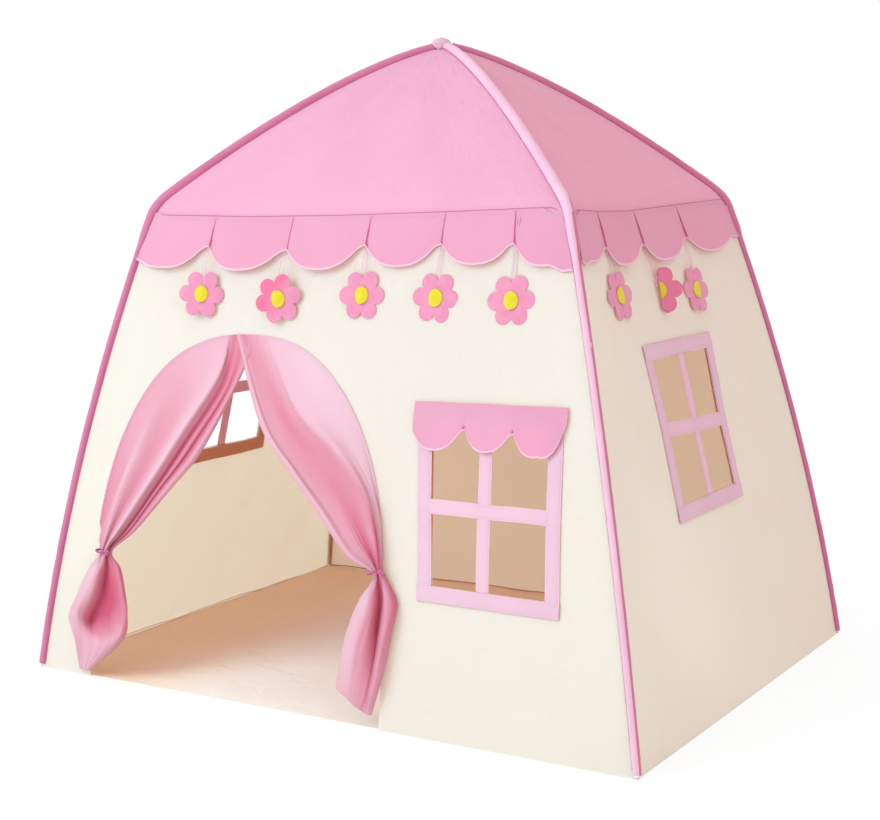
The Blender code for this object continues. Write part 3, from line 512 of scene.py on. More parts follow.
def slack(side, along, height):
    """How far the cloth lies inside the flat wall, as a number that isn't above 0."""
    to_side = smooth((wall_half(side, height) - abs(along)) / SLACK_FADE)
    to_end = smooth(min(seam_height(side, along) - height, height) / SLACK_FADE)
    if to_side * to_end == 0:
        return 0.0
    seed = SLACK_SEED[side]
    broad = noise.noise(Vector((along * BROAD_FOLDS_ALONG, height * BROAD_FOLDS_UP, seed)))
    narrow = noise.noise(Vector((along * 9 + height * 5, height * 4 - along * 2, seed)))
    return min(0.0, to_side * to_end * SLACK_DEPTH * (broad + NARROW_SLACK * narrow - SLACK_MEAN))


def lean_of(side, height):
    """How far a wall leans inwards for each metre up."""
    step = 0.004
    return (wall_depth(side, height - step) - wall_depth(side, height + step)) / (2 * step)


def skin(side, along, height, lift=0.0):
    """A point of the wall's outer face, or lifted off it."""
    across, outward = SIDES[side]
    lean = lean_of(side, height)
    lift = (lift + slack(side, along, height)) / sqrt(1 + lean * lean)
    return across * along + outward * (wall_depth(side, height) + lift) + UP * (height + lift * lean)


print("wall leans:", {side: round(lean_of(side, SEAM_HEIGHT / 2), 3) for side in SIDES})

# %% [markdown]
# ## Small tools of the workshop
#
# An operator works on whatever is selected, so each tool first clears the selection. Then
# modifiers are added and applied, and edit mode is entered and left, in the same few steps
# each time, so these steps are written once.

# %% Tools for one piece
WELD_DISTANCE = 0.00002


def deselect():
    """Let go of everything, since an operator acts on all that is selected."""
    for chosen in list(bpy.context.selected_objects):
        chosen.select_set(False)


def choose(*pieces):
    """Select these pieces alone, the first as the active one."""
    deselect()
    for piece in pieces:
        piece.select_set(True)
    bpy.context.view_layer.objects.active = pieces[0]


def dress(piece, *materials):
    """Give a piece its materials."""
    piece.data.materials.clear()
    for material in materials:
        piece.data.materials.append(material)
    return piece


def modify(piece, kind, **settings):
    """Add a modifier and apply it."""
    choose(piece)
    step = piece.modifiers.new(kind.lower(), kind)
    for name, value in settings.items():
        setattr(step, name, value)
    bpy.ops.object.modifier_apply(modifier=step.name)
    return piece


def in_edit_mode(piece, step, **settings):
    """Run one edit-mode step on the whole of a piece."""
    choose(piece)
    bpy.ops.object.mode_set(mode="EDIT")
    bpy.ops.mesh.select_all(action="SELECT")
    step(**settings)
    bpy.ops.object.mode_set(mode="OBJECT")
    return piece


def weld(piece):
    """Merge the points that lie in one place, as at a tube's seam."""
    return in_edit_mode(piece, bpy.ops.mesh.remove_doubles, threshold=WELD_DISTANCE)


def turn_outwards(piece):
    """Turn all the faces of a closed shape outwards."""
    return in_edit_mode(piece, bpy.ops.mesh.normals_make_consistent, inside=False)


def soften(piece, angle=50):
    """Shade a piece smooth, apart from its edges that are sharper than the angle in degrees."""
    choose(piece)
    bpy.ops.object.shade_smooth_by_angle(angle=radians(angle))
    return piece


def join(name, pieces):
    """Make several meshes one piece."""
    choose(*pieces)
    if len(pieces) > 1:
        bpy.ops.object.join()
    joined = bpy.context.active_object
    joined.name = name
    return joined


def settle(piece, body, *nodes, slot):
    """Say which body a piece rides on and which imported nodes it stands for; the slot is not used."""
    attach(piece, body)
    if nodes:
        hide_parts(*nodes)
    return piece


# %% [markdown]
# A grid primitive is the start of each sheet: its points are moved to their places in the
# wall, and its UV map is kept in metres, so that the weave has one size on every piece. The
# sheet is then given its thickness. A curve with a bevel would make round things such as
# piping, but a sheet wrapped round a line also takes puckers and a changing width.

# %% Tools for sheets and tubes


def sheet_of(name, columns, rows, place, size, material):
    """A grid whose point in a column and row is moved to place(column, row)."""
    deselect()
    bpy.ops.mesh.primitive_grid_add(x_subdivisions=columns, y_subdivisions=rows, size=1.0,
                                    calc_uvs=True)
    made = bpy.context.active_object
    made.name = name
    for point in made.data.vertices:
        point.co = place(round((point.co.x + 0.5) * columns), round((point.co.y + 0.5) * rows))
    for corner in made.data.uv_layers.active.data:
        corner.uv = (corner.uv[0] * size[0], corner.uv[1] * size[1])
    return dress(made, material)


def face_towards(sheet, outward):
    """Turn a sheet over if its first face looks the other way."""
    if sheet.data.polygons[0].normal.dot(outward) < 0:
        sheet.data.flip_normals()
    return sheet


def thicken(piece, thickness=CLOTH_THICKNESS, outward=False, inner=None):
    """Give a sheet its thickness, with another material on the inner face if there is one."""
    settings = {"thickness": thickness, "offset": 1.0 if outward else -1.0,
                "use_even_offset": False}
    if inner is not None:
        piece.data.materials.append(inner)
        settings["material_offset"] = 1
    return modify(piece, "SOLIDIFY", **settings)


def line_length(points):
    return sum((after - before).length for before, after in zip(points, points[1:]))


def tube_along(name, points, radius, sides, material):
    """A skin wrapped round a line of points: radius is a number, or a function of (row, angle)."""
    last = len(points) - 1
    ahead = [(points[min(number + 1, last)] - points[max(number - 1, 0)]).normalized()
             for number in range(last + 1)]
    side = ahead[0].orthogonal().normalized()
    frames = []
    for point, direction in zip(points, ahead):
        side = (side - direction * side.dot(direction)).normalized()
        frames.append((point, side, direction.cross(side)))

    def place(column, row):
        middle, one, other = frames[row]
        angle = 2 * pi * (column % sides) / sides
        reach = radius(row, angle) if callable(radius) else radius
        return middle + (one * cos(angle) + other * sin(angle)) * reach

    wide = 2 * pi * (radius((last + 1) // 2, 0.0) if callable(radius) else radius)
    return weld(sheet_of(name, sides, last, place, (wide, line_length(points)), material))


def mark(piece, name, values):
    """Keep a number at each point of a sheet, for its material to read."""
    kept = piece.data.attributes.new(name, "FLOAT", "POINT")
    for number, value in enumerate(values):
        kept.data[number].value = value


def line_object(name, points):
    """A curve object that runs straight from each point to the next."""
    data = bpy.data.curves.new(name, "CURVE")
    data.dimensions = "3D"
    line = data.splines.new("POLY")
    line.points.add(len(points) - 1)
    for knot, point in zip(line.points, points):
        knot.co = (*point, 1)
    made = bpy.data.objects.new(name, data)
    bpy.context.collection.objects.link(made)
    return made


# %% [markdown]
# ## Walls
#
# A wall is one sheet of white cloth between two poles. Its side edges don't stop at the pole
# pockets: they turn in and hug them, so that from inside only a narrow seam shows in the
# corner. Its inner face takes a warmer, creamy copy of the cloth as painted shade of the
# tent's inside, and on the back wall a deeper painted shade still.

# %% Wall sheets
HUG_ANGLES = (36, 22, 8)
WALL_COLUMNS = {"front": 120, "right": 92, "back": 120, "left": 92}
WALL_ROWS = 84


def hug(side, hand, height, angle, radius):
    """A point beside a pole pocket, turned inwards round it by an angle from the wall."""
    across, outward = SIDES[side]
    x, y = leg(height)
    along, depth = (x, y) if is_long(side) else (y, x)
    return (across * hand * (along - radius * cos(angle)) + outward * (depth - radius * sin(angle))
            + UP * height)


def wall_sheet(side):
    """A wall up to its eave seam, with a few columns more at each side to hug the pocket."""
    columns = WALL_COLUMNS[side]
    hugs = len(HUG_ANGLES)

    def place(column, row):
        share = row / WALL_ROWS
        inner = (column - hugs) / columns
        if 0 <= inner <= 1:
            top = wall_half(side, SEAM_HEIGHT)
            height = GAP + (seam_height(side, top * (2 * inner - 1)) - GAP) * share
            return skin(side, wall_half(side, height) * (2 * inner - 1), height)
        height = GAP + (SEAM_HEIGHT - GAP) * share
        angle = radians(HUG_ANGLES[columns + 2 * hugs - column if inner > 1 else column])
        return hug(side, 1 if inner > 1 else -1, height, angle, sleeve_radius(height) + GAP)

    size = (2 * wall_half(side, 0), SEAM_HEIGHT)
    return sheet_of(f"wall_{side}", columns + 2 * hugs, WALL_ROWS, place, size, WHITE_CLOTH)


walls = {side: wall_sheet(side) for side in SIDES}
for side, wall in walls.items():
    # The back wall's inner face takes the deep colour as painted shade.
    mark(wall, "fold", [1.0 if side == "back" else 0.0] * len(wall.data.vertices))
    thicken(wall, inner=INNER_CLOTH_PAINTED_SHADE)
print("wall faces:", sum(len(wall.data.polygons) for wall in walls.values()))

# %% [markdown]
# ## Door and windows
#
# A tailor cuts the openings from the finished wall. They could be left out of the grid, but
# its steps would show along the arch. So a solid of each opening's shape is subtracted from
# the sheet, which leaves a clean edge.

# %% Door opening
DOOR_CENTRE = -0.185
DOOR_WIDTH, DOOR_HEIGHT = 0.686, 0.676
ARCH_SIDE_POWER, ARCH_TOP_POWER = 2.3, 3.0
DOOR_INSET = 0.006
DOOR_SILL = -0.02
CUTTER_STEPS, CUTTER_REACH = 60, 0.35
# The level and the depth of each pinch, on the door's left (-1) and on its right (1).
PINCHES = {-1: (0.246, 0.022), 1: (0.275, 0.008)}
PINCH_REACH = 0.045
BELL_BASE = 2.718


def arch(angle, grow=0.0):
    """Half the door's width and its height, from the floor (0) to the top (a quarter turn)."""
    half = (DOOR_WIDTH / 2 + grow) * max(cos(angle), 0.0) ** (2 / ARCH_SIDE_POWER)
    return half, (DOOR_HEIGHT + grow) * max(sin(angle), 0.0) ** (2 / ARCH_TOP_POWER)


def door_half(hand, half, height):
    """The door is cut narrower where a tied curtain would show a gap beside its neck."""
    level, depth = PINCHES[hand]
    return half - depth * BELL_BASE ** -(((height - level) / PINCH_REACH) ** 2)


def door_cutter():
    """The arch as a flat outline, pushed through the front wall."""
    count = 2 * CUTTER_STEPS
    deselect()
    bpy.ops.mesh.primitive_circle_add(vertices=count, radius=1.0, fill_type="NGON")
    tool = bpy.context.active_object
    for number, point in enumerate(tool.data.vertices):
        turn = (number + 0.5) / count
        hand = 1 if turn < 0.5 else -1
        half, height = arch(pi * min(turn, 1 - turn), -DOOR_INSET)
        half = door_half(hand, half, height)
        if number in (0, count - 1):
            half, height = DOOR_WIDTH / 2 - DOOR_INSET, DOOR_SILL
        point.co = (DOOR_CENTRE + hand * half, -FOOT_DEPTH / 2 - CUTTER_REACH / 3, height)
    in_edit_mode(tool, bpy.ops.mesh.extrude_region_move,
                 TRANSFORM_OT_translate={"value": (0, CUTTER_REACH, 0)})
    return turn_outwards(tool)


def cut(piece, tool):
    """Subtract a cutter from a piece, and throw the cutter away."""
    modify(piece, "BOOLEAN", operation="DIFFERENCE", solver="EXACT", object=tool)
    bpy.data.objects.remove(tool)


cut(walls["front"], door_cutter())
print("door:", DOOR_WIDTH, "x", DOOR_HEIGHT, "m")

# %% [markdown]
# Each window is a plain block. Its corners are moved to where the real window is sewn, which
# in front is a little askew. With its openings cut, a wall is told what it rides on and what it
# stands for.

# %% Window openings
# Each window's middle along the wall, its level, and its width and height over the tapes.
WINDOWS = {
    "front": (0.347, 0.409, 0.282, 0.345),
    "right": (-0.035, 0.511, 0.304, 0.310),
    "left": (0.0, 0.511, 0.304, 0.310),
}
# The front window is sewn on a little askew: its corners from the lower left, going round.
SEWN_CORNERS = {"front": ((0.218, 0.237), (0.495, 0.238), (0.477, 0.577), (0.192, 0.573))}
STRIP = 0.027
BLOCK_SIZE = 0.12
WALL_SLOPE, WALL_HEMS = 0.93, 0.02


def window_corners(side, inset=0.0):
    """The window's corners as (along, height), from the lower left and going round."""
    along, level, width, height = WINDOWS[side]
    half, rise = width / 2, height / 2
    corners = SEWN_CORNERS.get(side, ((along - half, level - rise), (along + half, level - rise),
                                      (along + half, level + rise), (along - half, level + rise)))
    inwards = ((1, 1), (-1, 1), (-1, -1), (1, -1))
    return [Vector(corner) + Vector(way) * inset for corner, way in zip(corners, inwards)]


def window_cutter(side):
    """A block through the wall, with its corners at the opening's."""
    across, outward = SIDES[side]
    middle = outward * wall_depth(side, WINDOWS[side][1])
    corners = window_corners(side, STRIP)
    deselect()
    bpy.ops.mesh.primitive_cube_add(size=BLOCK_SIZE)
    tool = bpy.context.active_object
    for point in tool.data.vertices:
        right, up = point.co.x > 0, point.co.z > 0
        corner = corners[(2 if right else 3) if up else (1 if right else 0)]
        point.co = middle + across * corner.x + UP * corner.y + outward * point.co.y
    return turn_outwards(tool)


for side in WINDOWS:
    cut(walls[side], window_cutter(side))
for side, wall in walls.items():
    soften(wall, 40)
    settle(wall, "tent", f"wall_{side}", slot="white_cloth")
    wide = (FOOT_SPAN if is_long(side) else FOOT_DEPTH) + WALL_HEMS
print("windows:", len(WINDOWS))

# %% [markdown]
# ## Roof canopy
#
# The roof is one continuous sheet: four faces that run into each other under the ridge
# pockets and close under the hub. Four flat panels would leave gaps at the ridges. The grid
# runs right round the tent, and its first and last columns are welded together.

# %% Roof canopy
ROOF_COLUMNS = {"front": 64, "right": 50, "back": 64, "left": 50}
ARC_COLUMNS = 6
ROOF_ROWS = 52
# The last rings of the roof, which close it under the hub: their size and their height.
CLOSING = ((0.93, 1.1990), (0.5, 1.1985), (0.0, 1.1980))
ROOF_HOLLOW = 0.010
# How far up the roof the seam's unevenness reaches, and how much it moves outwards.
UNEVEN_share, UNEVEN_LEAN = 0.4, 0.21
ROOF_ROUND, ROOF_RISE = 4.0, 0.62
CORNERS = {"front_right": (1, -1), "back_right": (1, 1), "back_left": (-1, 1),
           "front_left": (-1, -1)}
CORNER_SIDES = {"front_right": ("front", "right"), "back_right": ("right", "back"),
                "back_left": ("back", "left"), "front_left": ("left", "front")}


def corner_frame(corner, line, share):
    """A pole line's point, with the directions from it into both faces and into the tent."""
    signs = Vector((*CORNERS[corner], 1))
    ahead = ((line(share + 0.004) - line(share - 0.004)) * signs).normalized()

    def square(direction):
        return (direction - ahead * direction.dot(ahead)).normalized()

    first, second = CORNER_SIDES[corner]
    one = square(-SIDES[first][0])
    other = square(SIDES[second][0])
    down = -UP - ahead * (-UP).dot(ahead)
    inward = square(one + other + down * 0.6)
    return line(share) * signs, one, inward, other


def roof_ring(share):
    """One closed row of the roof: the four faces, and the turns under the pockets."""
    ring = []
    edge = sleeve_radius(EAVE_HEIGHT) + GAP
    turns = {corner: corner_frame(corner, crown, share) for corner in CORNERS}
    names = list(CORNERS)
    for number, corner in enumerate(names):
        spot, one, inward, other = turns[corner]
        for step in range(ARC_COLUMNS):
            t = step / ARC_COLUMNS
            first, second = (one, inward) if t < 0.5 else (inward, other)
            direction = first.lerp(second, (t * 2) % 1.0).normalized()
            ring.append(spot + direction * edge)
        side = CORNER_SIDES[corner][1]
        after = turns[names[(number + 1) % 4]]
        start, end = spot + other * edge, after[0] + after[1] * edge
        outward = SIDES[side][1]
        for step in range(ROOF_COLUMNS[side]):
            t = step / ROOF_COLUMNS[side]
            point = start.lerp(end, t)
            bow = 4 * t * (1 - t)
            below = SEAM_HEIGHT - seam_height(side, (2 * t - 1) * wall_half(side, SEAM_HEIGHT))
            drop = below * max(0.0, 1 - share / UNEVEN_share) ** 2
            folds = noise.noise(Vector((t * 7, share * 0.6, SLACK_SEED[side])))
            hollow = ROOF_HOLLOW * bow * sin(pi * share) ** 0.7 * (0.5 + 0.5 * folds)
            ring.append(point - UP * (drop + hollow) + outward * drop * UNEVEN_LEAN)
    return ring


rings = [roof_ring(row / ROOF_ROWS) for row in range(ROOF_ROWS + 1)]
for scale, level in CLOSING:
    rings.append([Vector((point.x * scale, point.y * scale, level)) for point in rings[ROOF_ROWS]])
ring_columns = len(rings[0])
canopy = sheet_of("roof_canopy", ring_columns, len(rings) - 1,
                  lambda column, row: rings[row][column % ring_columns],
                  (ROOF_ROUND, ROOF_RISE), ROOF_CLOTH)
turn_outwards(weld(canopy))
if max(canopy.data.polygons, key=lambda face: face.area).normal.z < 0:
    canopy.data.flip_normals()
thicken(canopy)
soften(canopy, 60)
settle(canopy, "tent", *[f"roof_panel_{side}" for side in SIDES], slot="pink_roof_cloth")
print("canopy faces:", len(canopy.data.polygons))

# %% [markdown]
# ## Pole pockets
#
# Each corner pole slides in a pocket of doubled cloth that runs from the foot over the eave
# to the peak. It puckers a little along its seams. Two rows of piping show where the wall
# and roof cloth are caught in its seam. The pocket at the front right takes a paler copy of
# the cloth as painted light, and keeps the deeper pink as painted shade on the side that
# faces right.

# %% Pole pockets
LEG_STEPS, CROWN_STEPS = 110, 80
POCKET_SIDES = 22
POCKET_THICKNESS = 0.0006
POCKET_REACH = 0.016
# Faces of the front right pocket that turn further right than this keep the deep pink as painted shade.
POCKET_TURN = 0.78
POCKET_PUCKER, POCKET_EASE = 0.0006, 0.0001
FOOT_ROUND, FOOT_NARROW_share = 0.012, 0.55
FOOT_LIFT = 0.0004
PIPING = 0.0012


def whole_line(share):
    """The pole line from the foot (0) over the seam (1) to the peak (2)."""
    if share <= 1:
        height = SEAM_HEIGHT * share
        return Vector((*leg(height), height))
    return crown(share - 1, POCKET_REACH / RIDGE_REACH)


LINE_SHARES = [row / LEG_STEPS for row in range(LEG_STEPS)]
LINE_SHARES += [1 + row / CROWN_STEPS for row in range(CROWN_STEPS + 1)]


def pole_pocket(corner, material):
    """The pocket of one corner, closed round at the foot."""
    signs = Vector((*CORNERS[corner], 1))
    points = [whole_line(share) * signs for share in LINE_SHARES]
    points[0].z = FOOT_LIFT
    seed = CORNERS[corner][0] * 3.1 + CORNERS[corner][1]

    def radius(row, angle):
        if not row:
            return 0.0
        height = points[row].z
        foot = sqrt(min(1.0, max(0.0, height / FOOT_ROUND)))
        pucker = noise.noise(Vector((cos(angle) * 1.2 + seed, sin(angle) * 1.2, row * 0.35)))
        wide = sleeve_radius(height) - POCKET_EASE + POCKET_PUCKER * pucker
        return wide * (FOOT_NARROW_share + (1 - FOOT_NARROW_share) * foot)

    return soften(tube_along(f"pole_pocket_{corner}", points, radius, POCKET_SIDES, material), 60)


def pocket_piping(corner):
    """The two seam lines beside a pocket."""
    made = []
    for hand in (1, 3):
        line = []
        for share in LINE_SHARES[2:]:
            parts = corner_frame(corner, whole_line, share)
            spot, inward = parts[0], parts[2]
            line.append(spot + parts[hand] * (sleeve_radius(spot.z) + PIPING * 0.4)
                        - inward * PIPING)
        made.append(tube_along(f"piping_{corner}_{hand}", line, PIPING, 7, PIPING_CLOTH))
    return soften(join(f"pocket_piping_{corner}", made))


for corner in CORNERS:
    # The front right pocket takes the paler copy as painted light, with the deep pink as painted shade on
    # faces turned to the right.
    pocket = pole_pocket(corner, PALE_SLEEVE_PAINTED_LIGHT if corner == "front_right" else SLEEVE_CLOTH)
    if corner == "front_right":
        pocket.data.materials.append(SLEEVE_CLOTH)
        for face in pocket.data.polygons:
            face.material_index = 1 if face.normal.x > POCKET_TURN else 0
    thicken(pocket, POCKET_THICKNESS)
    settle(pocket, "tent", f"pole_sleeve_{corner}", slot="deep_pink_sleeve_cloth")
    settle(pocket_piping(corner), "tent", slot="deep_pink_sleeve_cloth")
print("pockets:", len(CORNERS))

# %% [markdown]
# ## Cap on the peak
#
# Where the four pockets meet, a small stuffed cap is tied over them. It could be blown up as
# simulated cloth, but it is only a thumb wide. So it starts as a sphere, is pressed to its
# height, and is drawn in towards its underside by soft creases.

# %% Peak cap
CAP_BASE, CAP_HEIGHT, CAP_RADIUS = 1.2150, 0.0145, 0.0195
CAP_SHIFT = Vector((-0.004, -0.003, 0))
CAP_UNDERSIDE, CAP_CREASE = 1.05, 0.05
deselect()
bpy.ops.mesh.primitive_uv_sphere_add(segments=40, ring_count=24, radius=1.0)
cap = bpy.context.active_object
cap.name = "peak_cap_cover"
for point in cap.data.vertices:
    flat = CAP_UNDERSIDE if point.co.z < 0 else 1.0
    gathers = 1 + cos(8 * noise.noise(point.co * 1.3))
    crease = 1 - CAP_CREASE * gathers * max(0.0, 0.6 - point.co.z)
    point.co = Vector((point.co.x * CAP_RADIUS * crease, point.co.y * CAP_RADIUS * crease,
                       CAP_BASE + point.co.z * CAP_HEIGHT * flat)) + CAP_SHIFT
# The cap takes the same paler copy of the pocket cloth, which is painted light.
dress(cap, PALE_SLEEVE_PAINTED_LIGHT)
soften(cap, 60)
settle(cap, "tent", "peak_cap", slot="deep_pink_sleeve_cloth")
print("cap faces:", len(cap.data.polygons))

# %% [markdown]
# ## Floor
#
# The floor is one more sheet, sewn to the walls all round. It lies in low waves on the
# ground, higher where more cloth was gathered. Towards the left and the back it takes a
# deeper tan as painted shade, which an attribute of the sheet hands to the material.

# %% Floor sheet
FLOOR_COLUMNS, FLOOR_ROWS = 90, 70
FLOOR_INSET = 0.0030
FLOOR_WAVE, FLOOR_WAVE_FADE = 0.0035, 0.05
FLOOR_CLEARANCE = 0.0006
FLOOR_CORNER = 0.002
FLOOR_PAINTED_SHADE = 0.85
# Where the painted shade starts and over what width it deepens, to the left and to the back.
SHADE_LEFT, SHADE_LEFT_FADE = -0.22, 0.30
SHADE_BACK, SHADE_BACK_FADE = 0.05, 0.40


def floor_place(column, row):
    """A point of the floor, with its corners cut off a little to clear the pockets."""
    half_x, half_y = FOOT_SPAN / 2 - FLOOR_INSET, FOOT_DEPTH / 2 - FLOOR_INSET
    x = half_x * (2 * column / FLOOR_COLUMNS - 1)
    y = half_y * (2 * row / FLOOR_ROWS - 1)
    inside = smooth(min(half_x - abs(x), half_y - abs(y)) / FLOOR_WAVE_FADE)
    corner = max(0.0, FLOOR_CORNER - (half_x - abs(x)) - (half_y - abs(y)))
    waves = 0.5 + noise.noise(Vector((x * 4, y * 5, 3.7)))
    lift = CLOTH_THICKNESS + FLOOR_CLEARANCE + max(0.0, FLOOR_WAVE * waves) * inside
    x -= corner / 2 * (1 if x > 0 else -1)
    y -= corner / 2 * (1 if y > 0 else -1)
    return Vector((x, y, lift))


# Painted shade on the floor, deeper towards the left and the back.
def floor_painted_shade(point):
    to_left = smooth((SHADE_LEFT - point.x) / SHADE_LEFT_FADE)
    to_back = smooth((point.y - SHADE_BACK) / SHADE_BACK_FADE)
    return FLOOR_PAINTED_SHADE * max(to_left, to_back)


floor_cloth = sheet_of("floor_sheet_cloth", FLOOR_COLUMNS, FLOOR_ROWS, floor_place,
                       (FOOT_SPAN, FOOT_DEPTH), FLOOR_CLOTH)
mark(floor_cloth, "fold", [floor_painted_shade(point.co) for point in floor_cloth.data.vertices])
thicken(floor_cloth)
soften(floor_cloth)
settle(floor_cloth, "tent", "floor_sheet", slot="floor_cloth")
print("floor faces:", len(floor_cloth.data.polygons))

# %% [markdown]
# The back edge of the floor and the inner corners are bound with a narrow brown tape, and
# the floor's own cloth binds its other edges. A hand-guided seam is never quite straight, so
# the binding wanders a little.

# %% Inner seams
BINDING, BINDING_SIDES = 0.0014, 8
SEAM_END = 0.004
FLOOR_SEAM_STEPS, CORNER_SEAM_STEPS = 120, 80
FLOOR_SEAM_HEIGHT, FLOOR_SEAM_WANDER = 0.0052, 0.0040


def floor_seam(side):
    """The binding between one wall and the floor."""
    half = wall_half(side, 0) - SEAM_END
    line = []
    for step in range(FLOOR_SEAM_STEPS + 1):
        along = half * (2 * step / FLOOR_SEAM_STEPS - 1)
        wander = noise.noise(Vector((along * 9, SLACK_SEED[side], 0.5)))
        lift = -CLOTH_THICKNESS - BINDING - 0.0008 - 0.0015 * abs(wander)
        line.append(skin(side, along, FLOOR_SEAM_HEIGHT + FLOOR_SEAM_WANDER * wander, lift))
    material = SEAM_CLOTH if side == "back" else FLOOR_CLOTH
    return tube_along(f"floor_seam_{side}", line, BINDING, BINDING_SIDES, material)


def corner_seam(corner):
    """The binding down one inner corner, behind the pole's pocket."""
    sign_x, sign_y = CORNERS[corner]
    line = []
    for step in range(CORNER_SEAM_STEPS + 1):
        height = SEAM_END + (SEAM_HEIGHT - 0.006) * step / CORNER_SEAM_STEPS
        x, y = leg(height)
        inset = (sleeve_radius(height) + 0.0022) / sqrt(2) + 0.0006
        line.append(Vector((sign_x * (x - inset), sign_y * (y - inset), height)))
    return tube_along(f"corner_seam_{corner}", line, BINDING, BINDING_SIDES, SEAM_CLOTH)


seams = [floor_seam(side) for side in ("back", "left", "right")]
seams += [corner_seam(corner) for corner in CORNERS]
settle(soften(join("inner_seams", seams)), "tent", slot="floor_cloth")
print("inner seams:", len(seams))

# %% [markdown]
# ## Eave valances
#
# The valance is a strip of pink tabs along the eave. It could be cut as one flat scalloped
# strip. On the real tent each tab is a piece of its own, laid like a roof tile over the one
# to its right, so here the sheet's columns step up at every notch, which draws the thin
# dark line between two tabs. The notches aren't evenly spaced, so their places come first.

# %% Scallops
NOTCH, DEPTH, LAP = 0.057, 0.097, 0.004
FRONT_NOTCHES = (0.188, 0.378, 0.550, 0.715, 0.867)
SIDE_NOTCHES = (0.185, 0.405, 0.655)
FLOWER_PLACES = {
    "front": FRONT_NOTCHES,
    "right": SIDE_NOTCHES,
    "back": tuple(1 - share for share in reversed(FRONT_NOTCHES)),
    "left": tuple(1 - share for share in reversed(SIDE_NOTCHES)),
}
NOTCHES = dict(FLOWER_PLACES, front=(0.176, 0.374, 0.559, 0.731, 0.889), right=(0.142, 0.357, 0.635))
# How far down each end or notch of a strip reaches, and then how deep each tab is.
NOTCH_DROPS = {
    "front": (0.089, 0.0546, 0.0598, 0.0526, 0.0535, 0.0572, 0.089),
    "right": (0.0755, 0.0612, 0.0602, 0.0607, 0.060),
    "back": (0.075, NOTCH, NOTCH, NOTCH, NOTCH, NOTCH, 0.080),
    "left": (0.070, NOTCH, NOTCH, NOTCH, 0.080),
}
TAB_DEPTHS = {
    "front": (0.0995, 0.0990, 0.0967, 0.0923, 0.0913, 0.0965),
    "right": (0.0855, 0.0923, 0.0944, 0.0934),
    "back": (DEPTH, 0.095, DEPTH, 0.094, DEPTH, 0.095),
    "left": (DEPTH, 0.094, DEPTH, 0.095),
}
# How wide the painted shade of the slit beside each notch is.
SLIT_SHADES = {"front": (0.0065, 0.001, 0.004, 0.001, 0.002), "right": (0.003, 0.002, 0.004),
         "back": (0.002, 0.001, 0.003, 0.001, 0.002), "left": (0.002, 0.001, 0.003)}
# How far to the right each slit leans from its notch up to the seam.
SLIT_LEANS = {"front": (-0.004, 0.0, 0.007, 0.009, 0.009), "right": (-0.006, -0.007, -0.005),
              "back": (0.002, -0.002, 0.003, 0.0, 0.002), "left": (0.002, 0.0, -0.003)}


def notch_edges(side, notches=NOTCHES):
    """The places of a valance's ends and notches along its wall."""
    half = wall_half(side, SEAM_HEIGHT - NOTCH) - 0.0008
    return [-half] + [half * (2 * share - 1) for share in notches[side]] + [half]


print("front notches at", [round(place, 3) for place in notch_edges("front")[1:-1]])

# %% [markdown]
# A tab's lower edge is drawn once, as a table of how far down it reaches at each share of its
# width. Its columns crowd towards both ends, where that edge is steep, and its last two rows
# are the turned hem.

# %% One tab
TAB_COLUMNS = 30
TAB_ROWS = (0, 0.02, 0.05, 0.09, 0.16, 0.24, 0.33, 0.43, 0.53, 0.63, 0.73, 0.82, 0.89, 0.94,
            0.965, 0.985, 1)
HEM_ROWS = 2
HEM_START, HEM_FADE = 0.94, 0.025
TAB_EDGE_shares = ((0, 0.0), (0.05, 0.26), (0.12, 0.58), (0.21, 0.84), (0.33, 0.98), (0.46, 1.0),
                   (0.60, 0.93), (0.72, 0.74), (0.82, 0.45), (0.89, 0.18), (0.95, 0.04), (1, 0.0))


def tab_share(column):
    """Which tab a column belongs to, and the share of that tab's width."""
    tab, step = divmod(column, TAB_COLUMNS + 1)
    return tab, (1 - cos(pi * step / TAB_COLUMNS)) / 2


def tab_drop(place, left_drop, right_drop, depth, round_end=False):
    """How far down a tab reaches at a share of its width: steep at its left, flared right."""
    rounded = table_value(TAB_EDGE_shares, min(place, 1 - place) if round_end else place)
    return depth - (depth - (left_drop if place < 0.4 else right_drop)) * (1 - rounded)


def hem_rise(row):
    """1 on the hem, where the cloth lies double, and 0 above it."""
    return smooth((TAB_ROWS[row] - HEM_START) / HEM_FADE)


def tab_strip(name, tabs, place, painted_shade, size):
    """A strip of tabs, with painted shade where the given function says, and a paler copy of the cloth on
    its doubled hem as a painted highlight.
    """
    columns, rows = tabs * (TAB_COLUMNS + 1) - 1, len(TAB_ROWS) - 1
    strip = sheet_of(name, columns, rows, place, size, VALANCE_CLOTH)
    mark(strip, "fold", [painted_shade(column, row) for row in range(rows + 1)
                         for column in range(columns + 1)])
    # The hem rows take the paler copy, partly the doubled cloth and partly a painted highlight.
    strip.data.materials.append(VALANCE_HEM_HIGHLIGHT)
    for face in strip.data.polygons:
        face.material_index = 1 if face.index // columns >= rows - HEM_ROWS else 0
    return strip


# %% [markdown]
# A valance hangs free below its seam, so it bridges the hollows of the wall behind it, and
# it swings out a little further down. Beside each notch, a narrow slit takes the deep pink
# as painted shade.

# %% Valances
STANDOFF = 0.0010
TILE = 0.0024
FLUTTER = 0.0035
VALANCE_HEM_RISE = 0.0007
SLIT_SHADE_LINE = 0.0011


